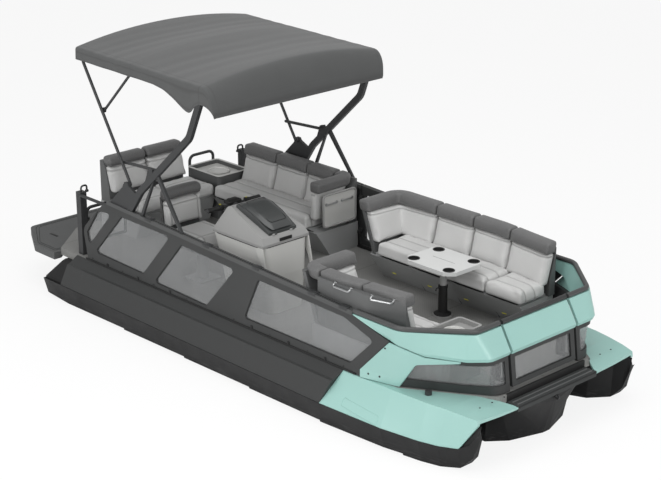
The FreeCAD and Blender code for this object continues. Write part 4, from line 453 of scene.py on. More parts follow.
def keep(name, mesh, finish, body="boat"):
    """A finished mesh as a piece of the boat that rides on one of its bodies."""
    piece = put(name, mesh)
    mesh.materials.clear()
    mesh.materials.append(finish.material)
    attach(piece, body)
    finish in slots
    return piece


class Shape:
    """Points and faces gathered from many simple forms into one piece."""

    def __init__(self, *forms):
        self.points = []
        self.faces = []
        self.add(*forms)

    def add(self, *forms):
        for points, faces in forms:
            start = len(self.points)
            self.points += points
            self.faces += [[start + index for index in face] for face in faces]

    def keep(self, name, finish, body="boat"):
        """The piece itself, its normals outwards and its sharp edges kept."""
        mesh = mesh_of(name, self.points, self.faces)
        work = bmesh.new()
        work.from_mesh(mesh)
        bmesh.ops.remove_doubles(work, verts=work.verts, dist=merge_distance)
        bmesh.ops.recalc_face_normals(work, faces=work.faces)
        for edge in work.edges:
            edge.smooth = len(edge.link_faces) == 2 and edge.calc_face_angle(0) < sharp_angle
        for face in work.faces:
            face.smooth = True
        work.to_mesh(mesh)
        work.free()
        keep(name, mesh, finish, body)


def strip(rows, closed=False):
    """Faces between rows of points; where each row closes on itself, the ends are capped."""
    count = len(rows[0])
    points = [point for row in rows for point in row]
    faces = []
    for row in range(len(rows) - 1):
        for index in range(count if closed else count - 1):
            beside = (index + 1) % count
            faces.append([row * count + index, row * count + beside,
                          (row + 1) * count + beside, (row + 1) * count + index])
    if closed:
        last = (len(rows) - 1) * count
        faces.append(list(reversed(range(count))))
        faces.append([last + index for index in range(count)])
    return points, faces


def rounded_line(points, radius, steps=5):
    """A path through points with its corners turned into arcs."""
    line = [Vector(points[0])]
    for before, corner, after in zip(points, points[1:], points[2:]):
        corner = Vector(corner)
        back = Vector(before) - corner
        on = Vector(after) - corner
        reach = min(radius / max(math.tan(back.angle(on) / 2), 1e-3), back.length * 0.49, on.length * 0.49)
        first = corner + back.normalized() * reach
        last = corner + on.normalized() * reach
        for step in range(steps + 1):
            share = step / steps
            line.append(first * (1 - share) ** 2 + corner * 2 * share * (1 - share) + last * share ** 2)
    line.append(Vector(points[-1]))
    return line


def around(sides):
    return [2 * math.pi * step / sides for step in range(sides)]


def heading(line, index):
    """The direction of a path at one of its points."""
    return (line[min(index + 1, len(line) - 1)] - line[max(index - 1, 0)]).normalized()


def rod(line, radius, sides=6, flat=1.0):
    """A tube along a path; flat squashes it along its own upward side."""
    line = [Vector(point) for point in line]
    rows = []
    rise = Vector(upward)
    for index, point in enumerate(line):
        ahead = heading(line, index)
        side = ahead.cross(rise)
        if side.length < 1e-4:
            side = ahead.cross(Vector((1, 0.2, 0)))
        side.normalize()
        rise = side.cross(ahead).normalized()
        rows.append([point + side * math.cos(turn) * radius + rise * math.sin(turn) * radius * flat
                     for turn in around(sides)])
    return strip(rows, closed=True)


def ring(line, radius, sides=6, flat=1.0):
    """A tube along a closed path, lapped over its own start."""
    return rod(line + line[:2], radius, sides, flat)


def bar(line, width, height):
    """A rectangular bar with broken edges along a path."""
    line = [Vector(point) for point in line]
    cut = min(width, height) / 5
    half = width / 2
    tall = height / 2
    section = [(half, tall - cut), (half - cut, tall), (cut - half, tall), (-half, tall - cut),
               (-half, cut - tall), (cut - half, -tall), (half - cut, -tall), (half, cut - tall)]
    rows = []
    for index, point in enumerate(line):
        ahead = heading(line, index)
        side = ahead.cross(Vector(upward)).normalized()
        rise = side.cross(ahead).normalized()
        rows.append([point + side * across + rise * high for across, high in section])
    return strip(rows, closed=True)


def block(low, high, edge=0.003, turn=None):
    """A box with broken edges between two corners, turned about its middle if asked."""
    low = Vector(low)
    high = Vector(high)
    size = high - low
    work = bmesh.new()
    bmesh.ops.create_cube(work, size=1.0)
    for vert in work.verts:
        vert.co = vert.co * size
    bmesh.ops.bevel(work, geom=list(work.edges), offset=min(edge, min(size) * 0.45), segments=2,
                    affect="EDGES", profile=0.5)
    spin = turn or Matrix.Identity(3)
    points = [spin @ vert.co + (low + high) / 2 for vert in work.verts]
    faces = [[vert.index for vert in face.verts] for face in work.faces]
    work.free()
    return points, faces


def lathe(profile, centre=(0, 0, 0), axis=upward, sides=24):
    """A turned form: radius and height pairs about an axis."""
    turn = Vector(upward).rotation_difference(Vector(axis)).to_matrix()
    rows = [[turn @ Vector((radius * math.cos(angle), radius * math.sin(angle), height)) + Vector(centre)
             for angle in around(sides)] for radius, height in profile]
    return strip(rows, closed=True)


def plate(outline, axis, low, high, edge=0.002):
    """A flat form with the outline's two coordinates across the axis, between two places along it."""
    order = {"x": (1, 2, 0), "y": (0, 2, 1), "z": (0, 1, 2)}[axis]
    centre = Vector([sum(pair[part] for pair in outline) / len(outline) for part in (0, 1)])
    step = min(edge, abs(high - low) * 0.4)
    rows = []
    for depth, inward in ((low, step), (low + step, 0.0), (high - step, 0.0), (high, step)):
        row = []
        for pair in outline:
            away = Vector(pair) - centre
            flat = centre + away * (1 - inward / max(away.length, 1e-6))
            place = Vector()
            for part, value in zip(order, (*flat, depth)):
                place[part] = value
            row.append(place)
        rows.append(row)
    return strip(rows, closed=True)


def corners(low, high, radius, steps=4):
    """A rounded rectangle's outline in two coordinates."""
    outline = []
    centres = ((high[0] - radius, high[1] - radius, 0), (low[0] + radius, high[1] - radius, 90),
               (low[0] + radius, low[1] + radius, 180), (high[0] - radius, low[1] + radius, 270))
    for across, up, start in centres:
        for step in range(steps + 1):
            turn = math.radians(start + 90 * step / steps)
            outline.append((across + radius * math.cos(turn), up + radius * math.sin(turn)))
    return outline


def between(value, low, high, first, last):
    share = max(0.0, min(1.0, (value - low) / (high - low)))
    return first + (last - first) * share


def height_on(places, x):
    """The height at x of a broken line through x and height pairs."""
    for (low, first), (high, last) in zip(places, places[1:]):
        if x <= high:
            return between(x, low, high, first, last)
    return places[-1][1]


# Padded pieces
swell_pressure = 4.0
swell_frames = 20
cloth_mass = 0.3
seam_width = 0.0065
seam_depth = 0.009
seam_grid = (-0.014, -0.006, 0.0, 0.006, 0.014)
seam_clearance = 0.016


def spaced(half, radius, cell, seams):
    """Grid places from one side of a pad to the other, closer at its edges and seams."""
    places = {-half, half}
    for step in (0.25, 0.6, 1.0):
        places.update((-half + radius * step, half - radius * step))
    span = 2 * (half - radius)
    count = max(2, round(span / cell))
    places.update(-half + radius + span * step / count for step in range(1, count))
    for seam in seams:
        places -= {place for place in places if abs(place - seam) < seam_clearance and abs(place) < half}
        places.update(seam + off for off in seam_grid)
    return sorted(places)


class Pad:
    """A cushion made as a rounded block, bent to its place, swollen as cloth and then sewn."""

    waiting = []

    def __init__(self, name, size, bend, radius, cell, seams, held, cap):
        self.name = name
        self.cap = cap
        self.seams = seams
        self.half = [part / 2 for part in size]
        radius = min([radius] + [half * 0.95 for half in self.half])
        grid = [spaced(half, radius, cell, lines) for half, lines in zip(self.half, seams)]
        self.rest = []
        faces = self.faces_on(grid)
        points = []
        for place in self.rest:
            inner = Vector([max(radius - half, min(half - radius, part))
                            for part, half in zip(place, self.half)])
            away = place - inner
            points.append(bend(inner + away.normalized() * radius if away.length > 1e-9 else place))
        self.mesh = mesh_of(name, points, faces)
        face_outwards(self.mesh)
        self.held = self.held_points(held)
        Pad.waiting.append(self)

    def faces_on(self, grid):
        """Lays the grid over all six sides of the block, with shared points along its edges."""
        index_of = {}
        faces = []

        def point(place):
            key = tuple(round(part, 5) for part in place)
            if key not in index_of:
                index_of[key] = len(self.rest)
                self.rest.append(Vector(place))
            return index_of[key]

        for axis in range(3):
            first, second = [other for other in range(3) if other != axis]
            for side in both_sides:
                for i in range(len(grid[first]) - 1):
                    for j in range(len(grid[second]) - 1):
                        face = []
                        for a, b in ((i, j), (i + 1, j), (i + 1, j + 1), (i, j + 1)):
                            place = [0.0, 0.0, 0.0]
                            place[axis] = self.half[axis] * side
                            place[first] = grid[first][a]
                            place[second] = grid[second][b]
                            face.append(point(place))
                        faces.append(face)
        return faces

    def held_points(self, held):
        """Points that rest on something and stay flat."""
        if held == "none":
            return []
        axis, side = {"low": (2, -1), "outer": (1, 1)}[held]
        return [index for index, place in enumerate(self.rest)
                if abs(place[axis] - self.half[axis] * side) < 1e-4]

    def start(self):
        """Puts the cover under pressure as cloth."""
        self.piece = put(self.name, self.mesh)
        swell = self.piece.modifiers.new("Swell", "CLOTH").settings
        swell.use_pressure = True
        swell.uniform_pressure_force = swell_pressure
        swell.quality = 4
        swell.mass = cloth_mass
        swell.effector_weights.gravity = 0.0
        if self.held:
            group = self.piece.vertex_groups.new(name="held")
            group.add(self.held, 1.0, "REPLACE")
            swell.vertex_group_mass = "held"

    def take(self, depsgraph):
        """Reads the swollen cover, with each point's travel capped."""
        swollen = self.piece.evaluated_get(depsgraph).to_mesh()
        moved = [vert.co.copy() for vert in swollen.vertices]
        for vert, place in zip(self.mesh.vertices, moved):
            travel = place - vert.co
            if travel.length > self.cap:
                travel *= self.cap / travel.length
            vert.co += travel
        bpy.data.objects.remove(self.piece)

    def sew(self):
        """Pulls the sewn lines in and marks them for the cover's finish, which paints shade along them."""
        marks = []
        for vert, place in zip(self.mesh.vertices, self.rest):
            pull = 0.0
            for part, lines in zip(place, self.seams):
                for line in lines:
                    pull = max(pull, math.exp(-((part - line) / seam_width) ** 2))
            if vert.index in self.held:
                pull = 0.0
            vert.co -= vert.normal * seam_depth * pull
            marks.append(pull)
        mark_seams(self.mesh, marks)


def fill_pads():
    """Swells every waiting pad in one run of the cloth simulation."""
    for pad in Pad.waiting:
        pad.start()
    scene = bpy.context.scene
    scene.frame_start = 1
    scene.frame_end = swell_frames
    for frame_number in range(1, swell_frames + 1):
        scene.frame_set(frame_number)
    depsgraph = bpy.context.evaluated_depsgraph_get()
    for pad in Pad.waiting:
        pad.take(depsgraph)
    scene.frame_set(1)
    for pad in Pad.waiting:
        pad.sew()


def cover(pads, title, finish, replaced, body="boat"):
    """Joins swollen pads into one smooth upholstered piece, which takes a plain solid's place."""
    work = bmesh.new()
    for pad in pads:
        work.from_mesh(pad.mesh)
    mesh = bpy.data.meshes.new(title)
    work.to_mesh(mesh)
    work.free()
    piece = keep(title, softened(title, mesh), finish, body)
    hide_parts(replaced)


# Canopy
canopy_half = 1.0245
canopy_aft = -1.866
canopy_ridge = -0.105
hoop_places = (-1.835, -1.050, -0.105)
canopy_side_aft = 2.470
canopy_side_bow = 2.434
canopy_crown = 0.098
canopy_edge_radius = 0.024
canopy_droop = 0.016
canopy_pucker = 0.0016
canopy_thickness = 0.003
lip_top = 2.182
lip_foot = 2.178
stitch_width = 0.004
stitch_grid = (-0.009, -0.004, 0.0, 0.004, 0.009)
side_welt_inset = 0.053
welt_grid = (0.062, 0.056, 0.050, 0.044)
side_cloth_foot = ((-1.87, 2.361), (-0.74, 2.342), (-0.60, 2.318), (-0.45, 2.262), (-0.31, 2.190),
                   (-0.265, 2.180), (-0.225, 2.196), (-0.165, 2.278), (-0.105, 2.284), (0.05, 2.284))


def slack(x, share):
    """How far the cloth hangs between the tubes that carry it."""
    drop = 0.0
    for low, high in zip(hoop_places, hoop_places[1:]):
        if low < x < high:
            along = (x - low) / (high - low)
            drop = canopy_droop * math.sin(math.pi * along) ** 1.4 * (1 - share ** 4)
            drop += canopy_pucker * math.sin(31 * along + 5 * share) * math.sin(math.pi * along)
    return drop


def canopy_section(x, ahead):
    """One cross section of the cloth, over the top from edge to edge: across, height and seam mark."""
    drop = 1 - math.cos(math.radians(90 * min(ahead, 1.0)))
    side = between(x, canopy_aft, canopy_ridge, canopy_side_aft, canopy_side_bow)
    edge = canopy_edge_radius * (1 - 0.85 * ahead)
    low = height_on(side_cloth_foot, x) + (lip_foot - side_cloth_foot[-1][1]) * drop
    half = canopy_half - 0.006 - 0.034 * ahead ** 2
    row = []
    flats = [0.0, 0.12, 0.24, 0.36, 0.48, 0.59, 0.69, 0.78, 0.85, 0.905]
    flats += [1 - inset / half for inset in (*welt_grid, edge)]
    for share in flats:
        high = side + canopy_crown * (1 - share ** 2.1) - slack(x, share)
        mark = math.exp(-((half * (1 - share) - side_welt_inset) / stitch_width) ** 2) * (1 - ahead)
        row.append((share * half, high + (lip_top - high) * drop, mark))
    foot = row[-1][1]
    for step in range(1, 5):
        turn = math.radians(90 * step / 4)
        row.append((half - edge + edge * math.sin(turn), foot - edge + edge * math.cos(turn), 0.0))
    top = foot - edge
    for share in (0.08, 0.16, 0.35, 0.6, 0.8, 0.88, 0.94, 1.0):
        ripple = 0.0025 * math.sin(17 * x + 2) * share * (1 - ahead)
        mark = 0.8 * (1 - ahead) if share in (0.16, 0.88) else 0.0
        row.append((half + 0.001 * share + ripple, top + (low - top) * share, mark))
    return [(-across, high, mark) for across, high, mark in reversed(row)] + row[1:]


def canopy_stations():
    """Places along the canopy, with how far each is round its bow edge, and the cross seams' marks."""
    hem = 0.03
    steps = 62
    span = canopy_ridge - 0.05 - canopy_aft - hem
    places = [canopy_aft, canopy_aft + 0.012, canopy_aft + 0.024, canopy_aft + hem]
    places += [canopy_aft + hem + span * step / steps for step in range(1, steps)]
    seam_marks = {}
    for seam in (hoop_places[1], canopy_ridge - 0.012):
        for off in stitch_grid:
            places.append(seam + off)
            seam_marks[round(seam + off, 5)] = math.exp(-(off / stitch_width) ** 2)
    stations = [(x, 0.0) for x in sorted(set(round(place, 5) for place in places))]
    for step in range(1, 15):
        ahead = step / 14
        stations.append((canopy_ridge + 0.012 + 0.128 * math.sin(math.radians(100 * ahead)), ahead))
    return stations, seam_marks


def make_canopy():
    """The sun top's cloth: one sheet pulled over the arch and hoops."""
    rows = []
    marks = []
    stations, seam_marks = canopy_stations()
    for x, ahead in stations:
        section = canopy_section(x, ahead)
        rows.append([(x, across, high) for across, high, mark in section])
        hem = 0.7 if 0.9 < ahead < 0.95 else 0.0
        marks += [max(mark, seam_marks.get(x, 0.0), hem) for across, high, mark in section]
    mesh = mesh_of("canopy_cloth", *strip(rows))
    mark_seams(mesh, marks)
    finished = softened("canopy_sheet", mesh, canopy_thickness)
    face_outwards(finished)
    sheet = keep("canopy_sheet", finished, cloth)
    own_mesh(sheet)
    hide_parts("canopy")


make_canopy()


# Side seats
seat_low = 0.742
seat_high = 0.860
back_high = 1.205
roll_low = 1.092
seat_middle = (seat_low + seat_high) / 2 - 0.004
seat_front = 0.460
seat_depth = 0.352
seat_seams = (-0.100, 0.030)
panel_depth = 0.080
panel_height = roll_low - seat_high + 0.04
panel_middle = (seat_high + roll_low) / 2 - 0.012
panel_seam = 0.110
roll_depth = 0.124
roll_height = back_high - roll_low - 0.010
roll_middle = (back_high + roll_low) / 2
roll_lean_share = 0.6
corner_roll_middle = 1.148
back_lean = (0.915 - 0.820) / (back_high - seat_high)
arm_lean = -0.172 / (back_high - seat_low)


def inner_line(x):
    """How far out the back cushions start at seat height."""
    return between(x, 1.56, 2.19, 0.820, 0.745)


def outer_line(x):
    """How far out the cushions' shells may reach beside the wall and the bow fence."""
    return between(x, 1.86, 2.19, 1.018, 0.905)


def follow(side, along, high, depth, lean):
    """Sets a back pad along a boat's side, which closes in towards the bow."""
    def bend(place):
        x = along + place.x
        z = high + place.z
        y = inner_line(x) - 0.004 + depth / 2 + place.y + lean * (z - seat_high)
        return Vector((x, side * min(y, outer_line(x) - 0.004), z))

    return bend


def wrap(side, line, middle, leans):
    """Sets a pad along a plan line that turns a corner; its lean goes from the first to the last."""
    lengths = [0.0]
    for first, last in zip(line, line[1:]):
        lengths.append(lengths[-1] + (last - first).length)

    def bend(place):
        along = max(0.0, min(lengths[-1] - 1e-6, place.x + lengths[-1] / 2))
        index = max(i for i, length in enumerate(lengths[:-1]) if length <= along)
        share = (along - lengths[index]) / (lengths[index + 1] - lengths[index])
        point = line[index].lerp(line[index + 1], share)
        ahead = (line[index + 1] - line[index]).normalized()
        if 0 < index < len(line) - 2:
            before = (line[index] - line[index - 1]).normalized()
            after = (line[index + 2] - line[index + 1]).normalized()
            ahead = (before.lerp(ahead, 0.5 + share / 2) + ahead.lerp(after, share / 2)).normalized()
        outward = Vector((-ahead.y, ahead.x))
        overrun = place.x + lengths[-1] / 2 - along
        z = middle + place.z
        lean = leans[0] + (leans[1] - leans[0]) * along / lengths[-1]
        flat = point + ahead * overrun + outward * (place.y + lean * (z - middle))
        return Vector((flat.x, side * flat.y, z))

    return bend, lengths[-1]


def panel_pad(name, length, bend, radius, cell):
    size = (length, panel_depth, panel_height)
    return Pad(name, size, bend, radius, cell, seams=((), (), (panel_seam,)), held="outer", cap=0.012)


def roll_pad(name, length, bend, radius):
    size = (length, roll_depth, roll_height)
    return Pad(name, size, bend, radius, cell=0.028, seams=((), (), ()), held="outer", cap=0.006)


def seat_pads(name, side, breaks):
    """Seat cushions side by side with sewn lines along each."""
    seats = []
    for index, (low, high) in enumerate(zip(breaks, breaks[1:])):
        middle = (low + high) / 2

        def tapered(place, middle=middle):
            x = middle + place.x
            share = (place.y + seat_depth / 2) / seat_depth
            y = seat_front + (inner_line(x) + 0.034 - seat_front) * share
            return Vector((x, side * y, seat_middle + place.z))

        size = (high - low - 0.006, seat_depth, seat_high - seat_low - 0.010)
        seats.append(Pad(f"{name}_seat_{index}", size, tapered, radius=0.028, cell=0.034,
                         seams=((), seat_seams, ()), held="low", cap=0.014))
    return seats


def back_pads(name, side, breaks):
    """Light back panels with a dark roll over each, parted at the breaks."""
    panels = []
    rolls = []
    for index, (low, high) in enumerate(zip(breaks, breaks[1:])):
        middle = (low + high) / 2
        length = high - low - 0.008
        bend = follow(side, middle, panel_middle, panel_depth, back_lean)
        panels.append(panel_pad(f"{name}_panel_{index}", length - 0.002, bend, 0.024, 0.032))
        bend = follow(side, middle, roll_middle, roll_depth, roll_lean_share * back_lean)
        rolls.append(roll_pad(f"{name}_roll_{index}", length + 0.002, bend, 0.024))
    return panels, rolls


def plan_line(points, radius):
    return [point.to_2d() for point in rounded_line([Vector(point).to_3d() for point in points], radius, 8)]


def corner_pads(name, side, roll_line, panel_line, leans):
    """Panel and roll that turn the corner between a leaning rest or arm and the side."""
    roll_leans = [roll_lean_share * lean for lean in leans]
    bend, length = wrap(side, plan_line(roll_line, 0.115), corner_roll_middle, roll_leans)
    roll = roll_pad(name + "_roll_c", length - 0.008, bend, 0.026)
    bend, length = wrap(side, plan_line(panel_line, 0.085), panel_middle, leans)
    panel = panel_pad(name + "_panel_c", length - 0.010, bend, 0.026, 0.030)
    return panel, roll


def rest_corner(aft, fore):
    """Where the corner pads of a bow seat run, whose leaning rest stands at the aft end."""
    high = aft + 0.059 + arm_lean * (corner_roll_middle - seat_low)
    low = aft + 0.080 + arm_lean * ((seat_high + roll_low) / 2 - seat_low)
    return ([(high, 0.478), (high, 0.932), (fore, 0.932)], [(low, 0.500), (low, 0.888), (fore, 0.888)],
            (0.37, back_lean))


def side_seat(name, side, seat_breaks, back_breaks, corner):
    """All the pads of one side seat: its cushions, back panels and rolls."""
    seats = seat_pads(name, side, seat_breaks)
    panels, rolls = back_pads(name, side, back_breaks)
    panel, roll = corner_pads(name, side, *corner)
    return seats, panels + [panel], rolls + [roll]


arm_corner = ([(-0.496, 0.932), (-0.367, 0.932), (-0.367, 0.502)],
              [(-0.496, 0.888), (-0.392, 0.888), (-0.392, 0.506)], (back_lean, 0.0))
bow_aft = 0.405
lounge_aft = 1.252
aft_pads = side_seat("aft", 1, (-1.775, -0.424), (-1.775, -1.300, -0.860, -0.500), arm_corner)
bow_pads = side_seat("bow", 1, (0.500, 1.781, 2.188), (0.840, 1.280, 1.715, 2.186),
                     rest_corner(bow_aft, 0.836))
lounge_pads = side_seat("lounge", -1, (1.348, 1.781, 2.188), (1.309, 1.763, 2.186),
                        rest_corner(lounge_aft, 1.305))


# Stern bench and helm chair
def facing_bow(middle, slope=0.0):
    """Sets a pad across the boat about a middle point, leaning aft as it rises."""
    def bend(place):
        point = Vector(middle) + Vector((-place.y, place.x, place.z))
        return point - Vector((1, 0, 0)) * slope * (point.z - seat_high)

    return bend


def bench_pads():
    """The bench's two places, each with a seat, a panel and a roll."""
    seats = []
    panels = []
    rolls = []
    for index, (low, high) in enumerate(((-0.398, 0.062), (0.062, 0.518))):
        middle = (low + high) / 2
        length = high - low - 0.010
        bend = facing_bow((-2.011, middle, seat_middle))
        size = (length, 0.418, seat_high - seat_low - 0.014)
        seats.append(Pad(f"bench_seat_{index}", size, bend, radius=0.032, cell=0.034,
                         seams=((), (-0.134, 0.060), ()), held="low", cap=0.015))
        bend = facing_bow((-2.274, middle, (seat_high + roll_low) / 2), back_lean)
        size = (length - 0.006, panel_depth, roll_low - seat_high + 0.02)
        panels.append(Pad(f"bench_panel_{index}", size, bend, radius=0.026, cell=0.032,
                          seams=((), (), (0.085,)), held="outer", cap=0.014))
        bend = facing_bow((-2.310, middle, roll_middle), roll_lean_share * back_lean)
        size = (length, 0.128, back_high - roll_low - 0.012)
        rolls.append(Pad(f"bench_roll_{index}", size, bend, radius=0.040, cell=0.028,
                         seams=((), (), (-0.030,)), held="outer", cap=0.010))
    return seats, panels, rolls


helm_x = -0.680
helm_y = -0.575
helm_lean = 0.09
helm_lean_from = 0.93
helm_back_half = math.sqrt(0.05)


def helm_curve(across, depth):
    """How far the chair's back has come forward at a place across it, as its ends wrap the sitter."""
    return depth * (across / helm_back_half) ** 2


def helm_place(along, high, depth):
    """Sets a pad of the helm chair's back, curved round the sitter and leaning aft."""
    def bend(place):
        x = along - place.y + helm_curve(place.x, depth) - (high + place.z - helm_lean_from) * helm_lean
        return Vector((x, helm_y + place.x, high + place.z))

    return bend


def helm_pads():
    """The helm chair's seat, rest and roll."""
    seat = Pad("helm_pad", (0.438, 0.462, 0.110), facing_bow((helm_x - 0.003, helm_y, 0.866)), radius=0.040,
               cell=0.030, seams=((-0.130, 0.130), (-0.150,), ()), held="low", cap=0.014)
    rest = Pad("helm_rest", (0.416, 0.060, 0.250), helm_place(-0.952, 1.050, 0.020), radius=0.028,
               cell=0.026, seams=((-0.155, 0.155), (), (0.080,)), held="outer", cap=0.012)
    roll = Pad("helm_roll", (0.436, 0.100, 0.108), helm_place(-0.966, 1.225, 0.026), radius=0.044,
               cell=0.026, seams=((), (), (-0.034,)), held="none", cap=0.008)
    return seat, rest, roll


stern_pads = bench_pads()
helm_seat, helm_rest, helm_roll = helm_pads()
fill_pads()

for group, (seats, panels, rolls) in (("sofa_aft", aft_pads), ("sofa_bow", bow_pads),
                                      ("bench", stern_pads), ("lounge", lounge_pads)):
    cover(seats, group + "_seat_cushions", light_vinyl, group + "_seat")
    cover(panels, group + "_back_panels", light_vinyl, group + "_back")
    cover(rolls, group + "_rolls", roll_vinyl, group + "_back")
cover([helm_seat], "helm_seat_cushion", light_vinyl, "helm_seat", "helm_chair")
cover([helm_rest], "helm_rest_cushion", light_vinyl, "helm_back", "helm_chair")
cover([helm_roll], "helm_roll_cushion", roll_vinyl, "helm_back", "helm_chair")


# Shells behind and under the cushions
shell_foot = seat_low - 0.014
shell_top = 1.150
side_shell_section = [(0.900, shell_foot), (1.012, shell_foot), (1.012, shell_top), (0.985, shell_top),
                      (0.962, 1.086), (0.912, 0.900)]


def bow_seat_shell(name, side, aft, fore):
    """Hard grey shell behind the back cushions of one bow seat, with its leaning rest."""
    sections = []
    for x in (aft + 0.06, 1.552, 1.70, 1.86, 2.02, fore):
        shift = inner_line(x) - inner_line(0)
        limit = outer_line(x) - 0.006
        sections.append([(x, side * (min(y + shift, limit - 0.01) if y < 1.0 else limit), z)
                         for y, z in side_shell_section])
    levels = []
    for z in (shell_foot, 0.95, shell_top):
        rest_aft = aft + arm_lean * (z - seat_low)
        levels.append([(rest_aft + off, side * y, z) for off, y in
                       ((0.003, 0.510), (0.015, 0.492), (0.050, 0.492), (0.050, 1.010),
                        (0.070, 1.012), (0.030, 1.012), (0.003, 0.985))])
    Shape(strip(sections, closed=True), strip(levels, closed=True)).keep(name, moulding_dark)


def stern_shells():
    """Shells behind the aft sofa and the bench."""
    bench_section = [(-2.305, seat_low), (-2.450, seat_low), (-2.450, shell_top), (-2.405, shell_top),
                     (-2.372, 1.086), (-2.318, 0.900)]
    shells = Shape(plate(side_shell_section, "x", -1.778, -0.310, 0.003),
                   plate(bench_section, "y", -0.398, 0.518, 0.003))
    shells.keep("seat_shells", moulding_dark)


def helm_shell():
    """The helm chair's curved back shell and the pan under its seat."""
    half = 0.205
    sections = []
    for step in range(9):
        y = helm_y - half + 2 * half * step / 8
        shift = helm_curve(y - helm_y, 0.020)
        sections.append([(x + shift - (z - helm_lean_from) * helm_lean, y, z) for x, z in
                         ((-0.985, 0.83), (-1.006, 0.86), (-1.010, 1.20), (-0.985, 1.21))])
    pan = block((-0.912, helm_y - half, 0.792), (-0.452, helm_y + half, 0.822), 0.008)
    heel = block((-1.000, helm_y - 0.150, 0.794), (-0.900, helm_y + 0.150, 0.850), 0.008)
    Shape(strip(sections, closed=True), pan, heel).keep("helm_chair_shell", moulding_dark, "helm_chair")


bow_seat_shell("bow_sofa_shell", 1, bow_aft, 2.186)
bow_seat_shell("lounge_shell", -1, lounge_aft, 2.186)
stern_shells()
helm_shell()


# Trim that repeats or follows a carried-over piece
deck_top = 0.470
wall_face = 1.0605


def scatter(name, places, form, finish):
    """The same small form set at many places, each turned to its own outward direction."""
    seeds = mesh_of(name + "_places", [place for place, outward in places])
    layer = seeds.attributes.new("outward", "FLOAT_VECTOR", "POINT")
    for item, (place, outward) in zip(layer.data, places):
        item.vector = outward
    model = mesh_of(name + "_model", *form)
    face_outwards(model)
    sample = bpy.data.objects.new(name + "_sample", model)
    holder = put(name + "_holder", seeds)
    tree = bpy.data.node_groups.new(name + "_set", "GeometryNodeTree")
    tree.interface.new_socket("Geometry", in_out="INPUT", socket_type="NodeSocketGeometry")
    sample_socket = tree.interface.new_socket("Sample", in_out="INPUT", socket_type="NodeSocketObject")
    tree.interface.new_socket("Geometry", in_out="OUTPUT", socket_type="NodeSocketGeometry")
    entry = tree.nodes.new("NodeGroupInput")
    leave = tree.nodes.new("NodeGroupOutput")
    direction = tree.nodes.new("GeometryNodeInputNamedAttribute")
    direction.data_type = "FLOAT_VECTOR"
    direction.inputs["Name"].default_value = "outward"
    turned = tree.nodes.new("FunctionNodeAlignRotationToVector")
    turned.axis = "Z"
    shape = tree.nodes.new("GeometryNodeObjectInfo")
    instance = tree.nodes.new("GeometryNodeInstanceOnPoints")
    real = tree.nodes.new("GeometryNodeRealizeInstances")
    coloured = tree.nodes.new("GeometryNodeSetMaterial")
    coloured.inputs["Material"].default_value = finish.material
    for start, output, end, socket in ((entry, "Sample", shape, "Object"),
                                       (entry, "Geometry", instance, "Points"),
                                       (shape, "Geometry", instance, "Instance"),
                                       (direction, "Attribute", turned, "Vector"),
                                       (turned, "Rotation", instance, "Rotation"),
                                       (instance, "Instances", real, "Geometry"),
                                       (real, "Geometry", coloured, "Geometry"),
                                       (coloured, "Geometry", leave, "Geometry")):
        tree.links.new(start.outputs[output], end.inputs[socket])
    setter = holder.modifiers.new("set", "NODES")
    setter.node_group = tree
    setter[sample_socket.identifier] = sample
    mesh = baked(holder, name)
    bpy.data.objects.remove(sample)
    keep(name, mesh, finish)


def outer_edges(node, side):
    """The outlines of a flat node's faces that look out of the boat on one side."""
    nearly_square = 0.98
    work = bmesh.new()
    work.from_mesh(nodes[node].data)
    bmesh.ops.remove_doubles(work, verts=work.verts, dist=merge_distance)
    looking = {face for face in work.faces if face.normal.dot(Vector(side)) > nearly_square}
    edges = [edge for edge in work.edges if sum(face in looking for face in edge.link_faces) == 1]
    loops = []
    while edges:
        edge = edges.pop()
        line = [edge.verts[0], edge.verts[1]]
        while True:
            found = next((item for item in edges if line[-1] in item.verts), None)
            if not found:
                break
            edges.remove(found)
            line.append(found.other_vert(line[-1]))
        loops.append([vert.co.copy() for vert in line])
    work.free()
    return [line for line in loops if len(line) > 3]


def surface(node):
    """Finds where a straight look meets a carried-over piece, and which way that surface faces."""
    mesh = nodes[node].data
    tree = BVHTree.FromPolygons([vert.co for vert in mesh.vertices],
                                [face.vertices for face in mesh.polygons])

    def look(start, ahead):
        return tree.ray_cast(Vector(start), Vector(ahead))[:2]

    return look


def gaskets():
    """Black rubber lips around the windows."""
    lip_radius = 0.0055
    lift = 0.001
    for title, node, side, body in (("window_gaskets", "window_panes", (0, -1, 0), "boat"),
                                    ("window_gaskets_port", "window_panes", (0, 1, 0), "boat"),
                                    ("side_gate_gasket", "side_gate_pane", (0, 1, 0), "side_gate"),
                                    ("bow_gate_gasket", "bow_gate_pane", (1, 0, 0), "bow_gate")):
        lips = Shape()
        for line in outer_edges(node, side):
            lifted = [point + Vector(side) * lift for point in line]
            lips.add(rod(lifted + [lifted[1]], lip_radius))
        lips.keep(title, rubber, body)


def cover_recess():
    """A long shallow recess marked out near the outer edge of each bow cover."""
    look = surface("bow_covers")
    outline = corners((1.760, 1.150), (2.150, 1.182), 0.012)
    above = 1.0
    lift = 0.0004
    line_radius = 0.0024
    lines = Shape()
    for side in both_sides:
        found = [look((x, side * y, above), (0, 0, -1)) for x, y in outline]
        lines.add(ring([place + outward * lift for place, outward in found if place], line_radius))
    lines.keep("cover_recess_lines", teal)


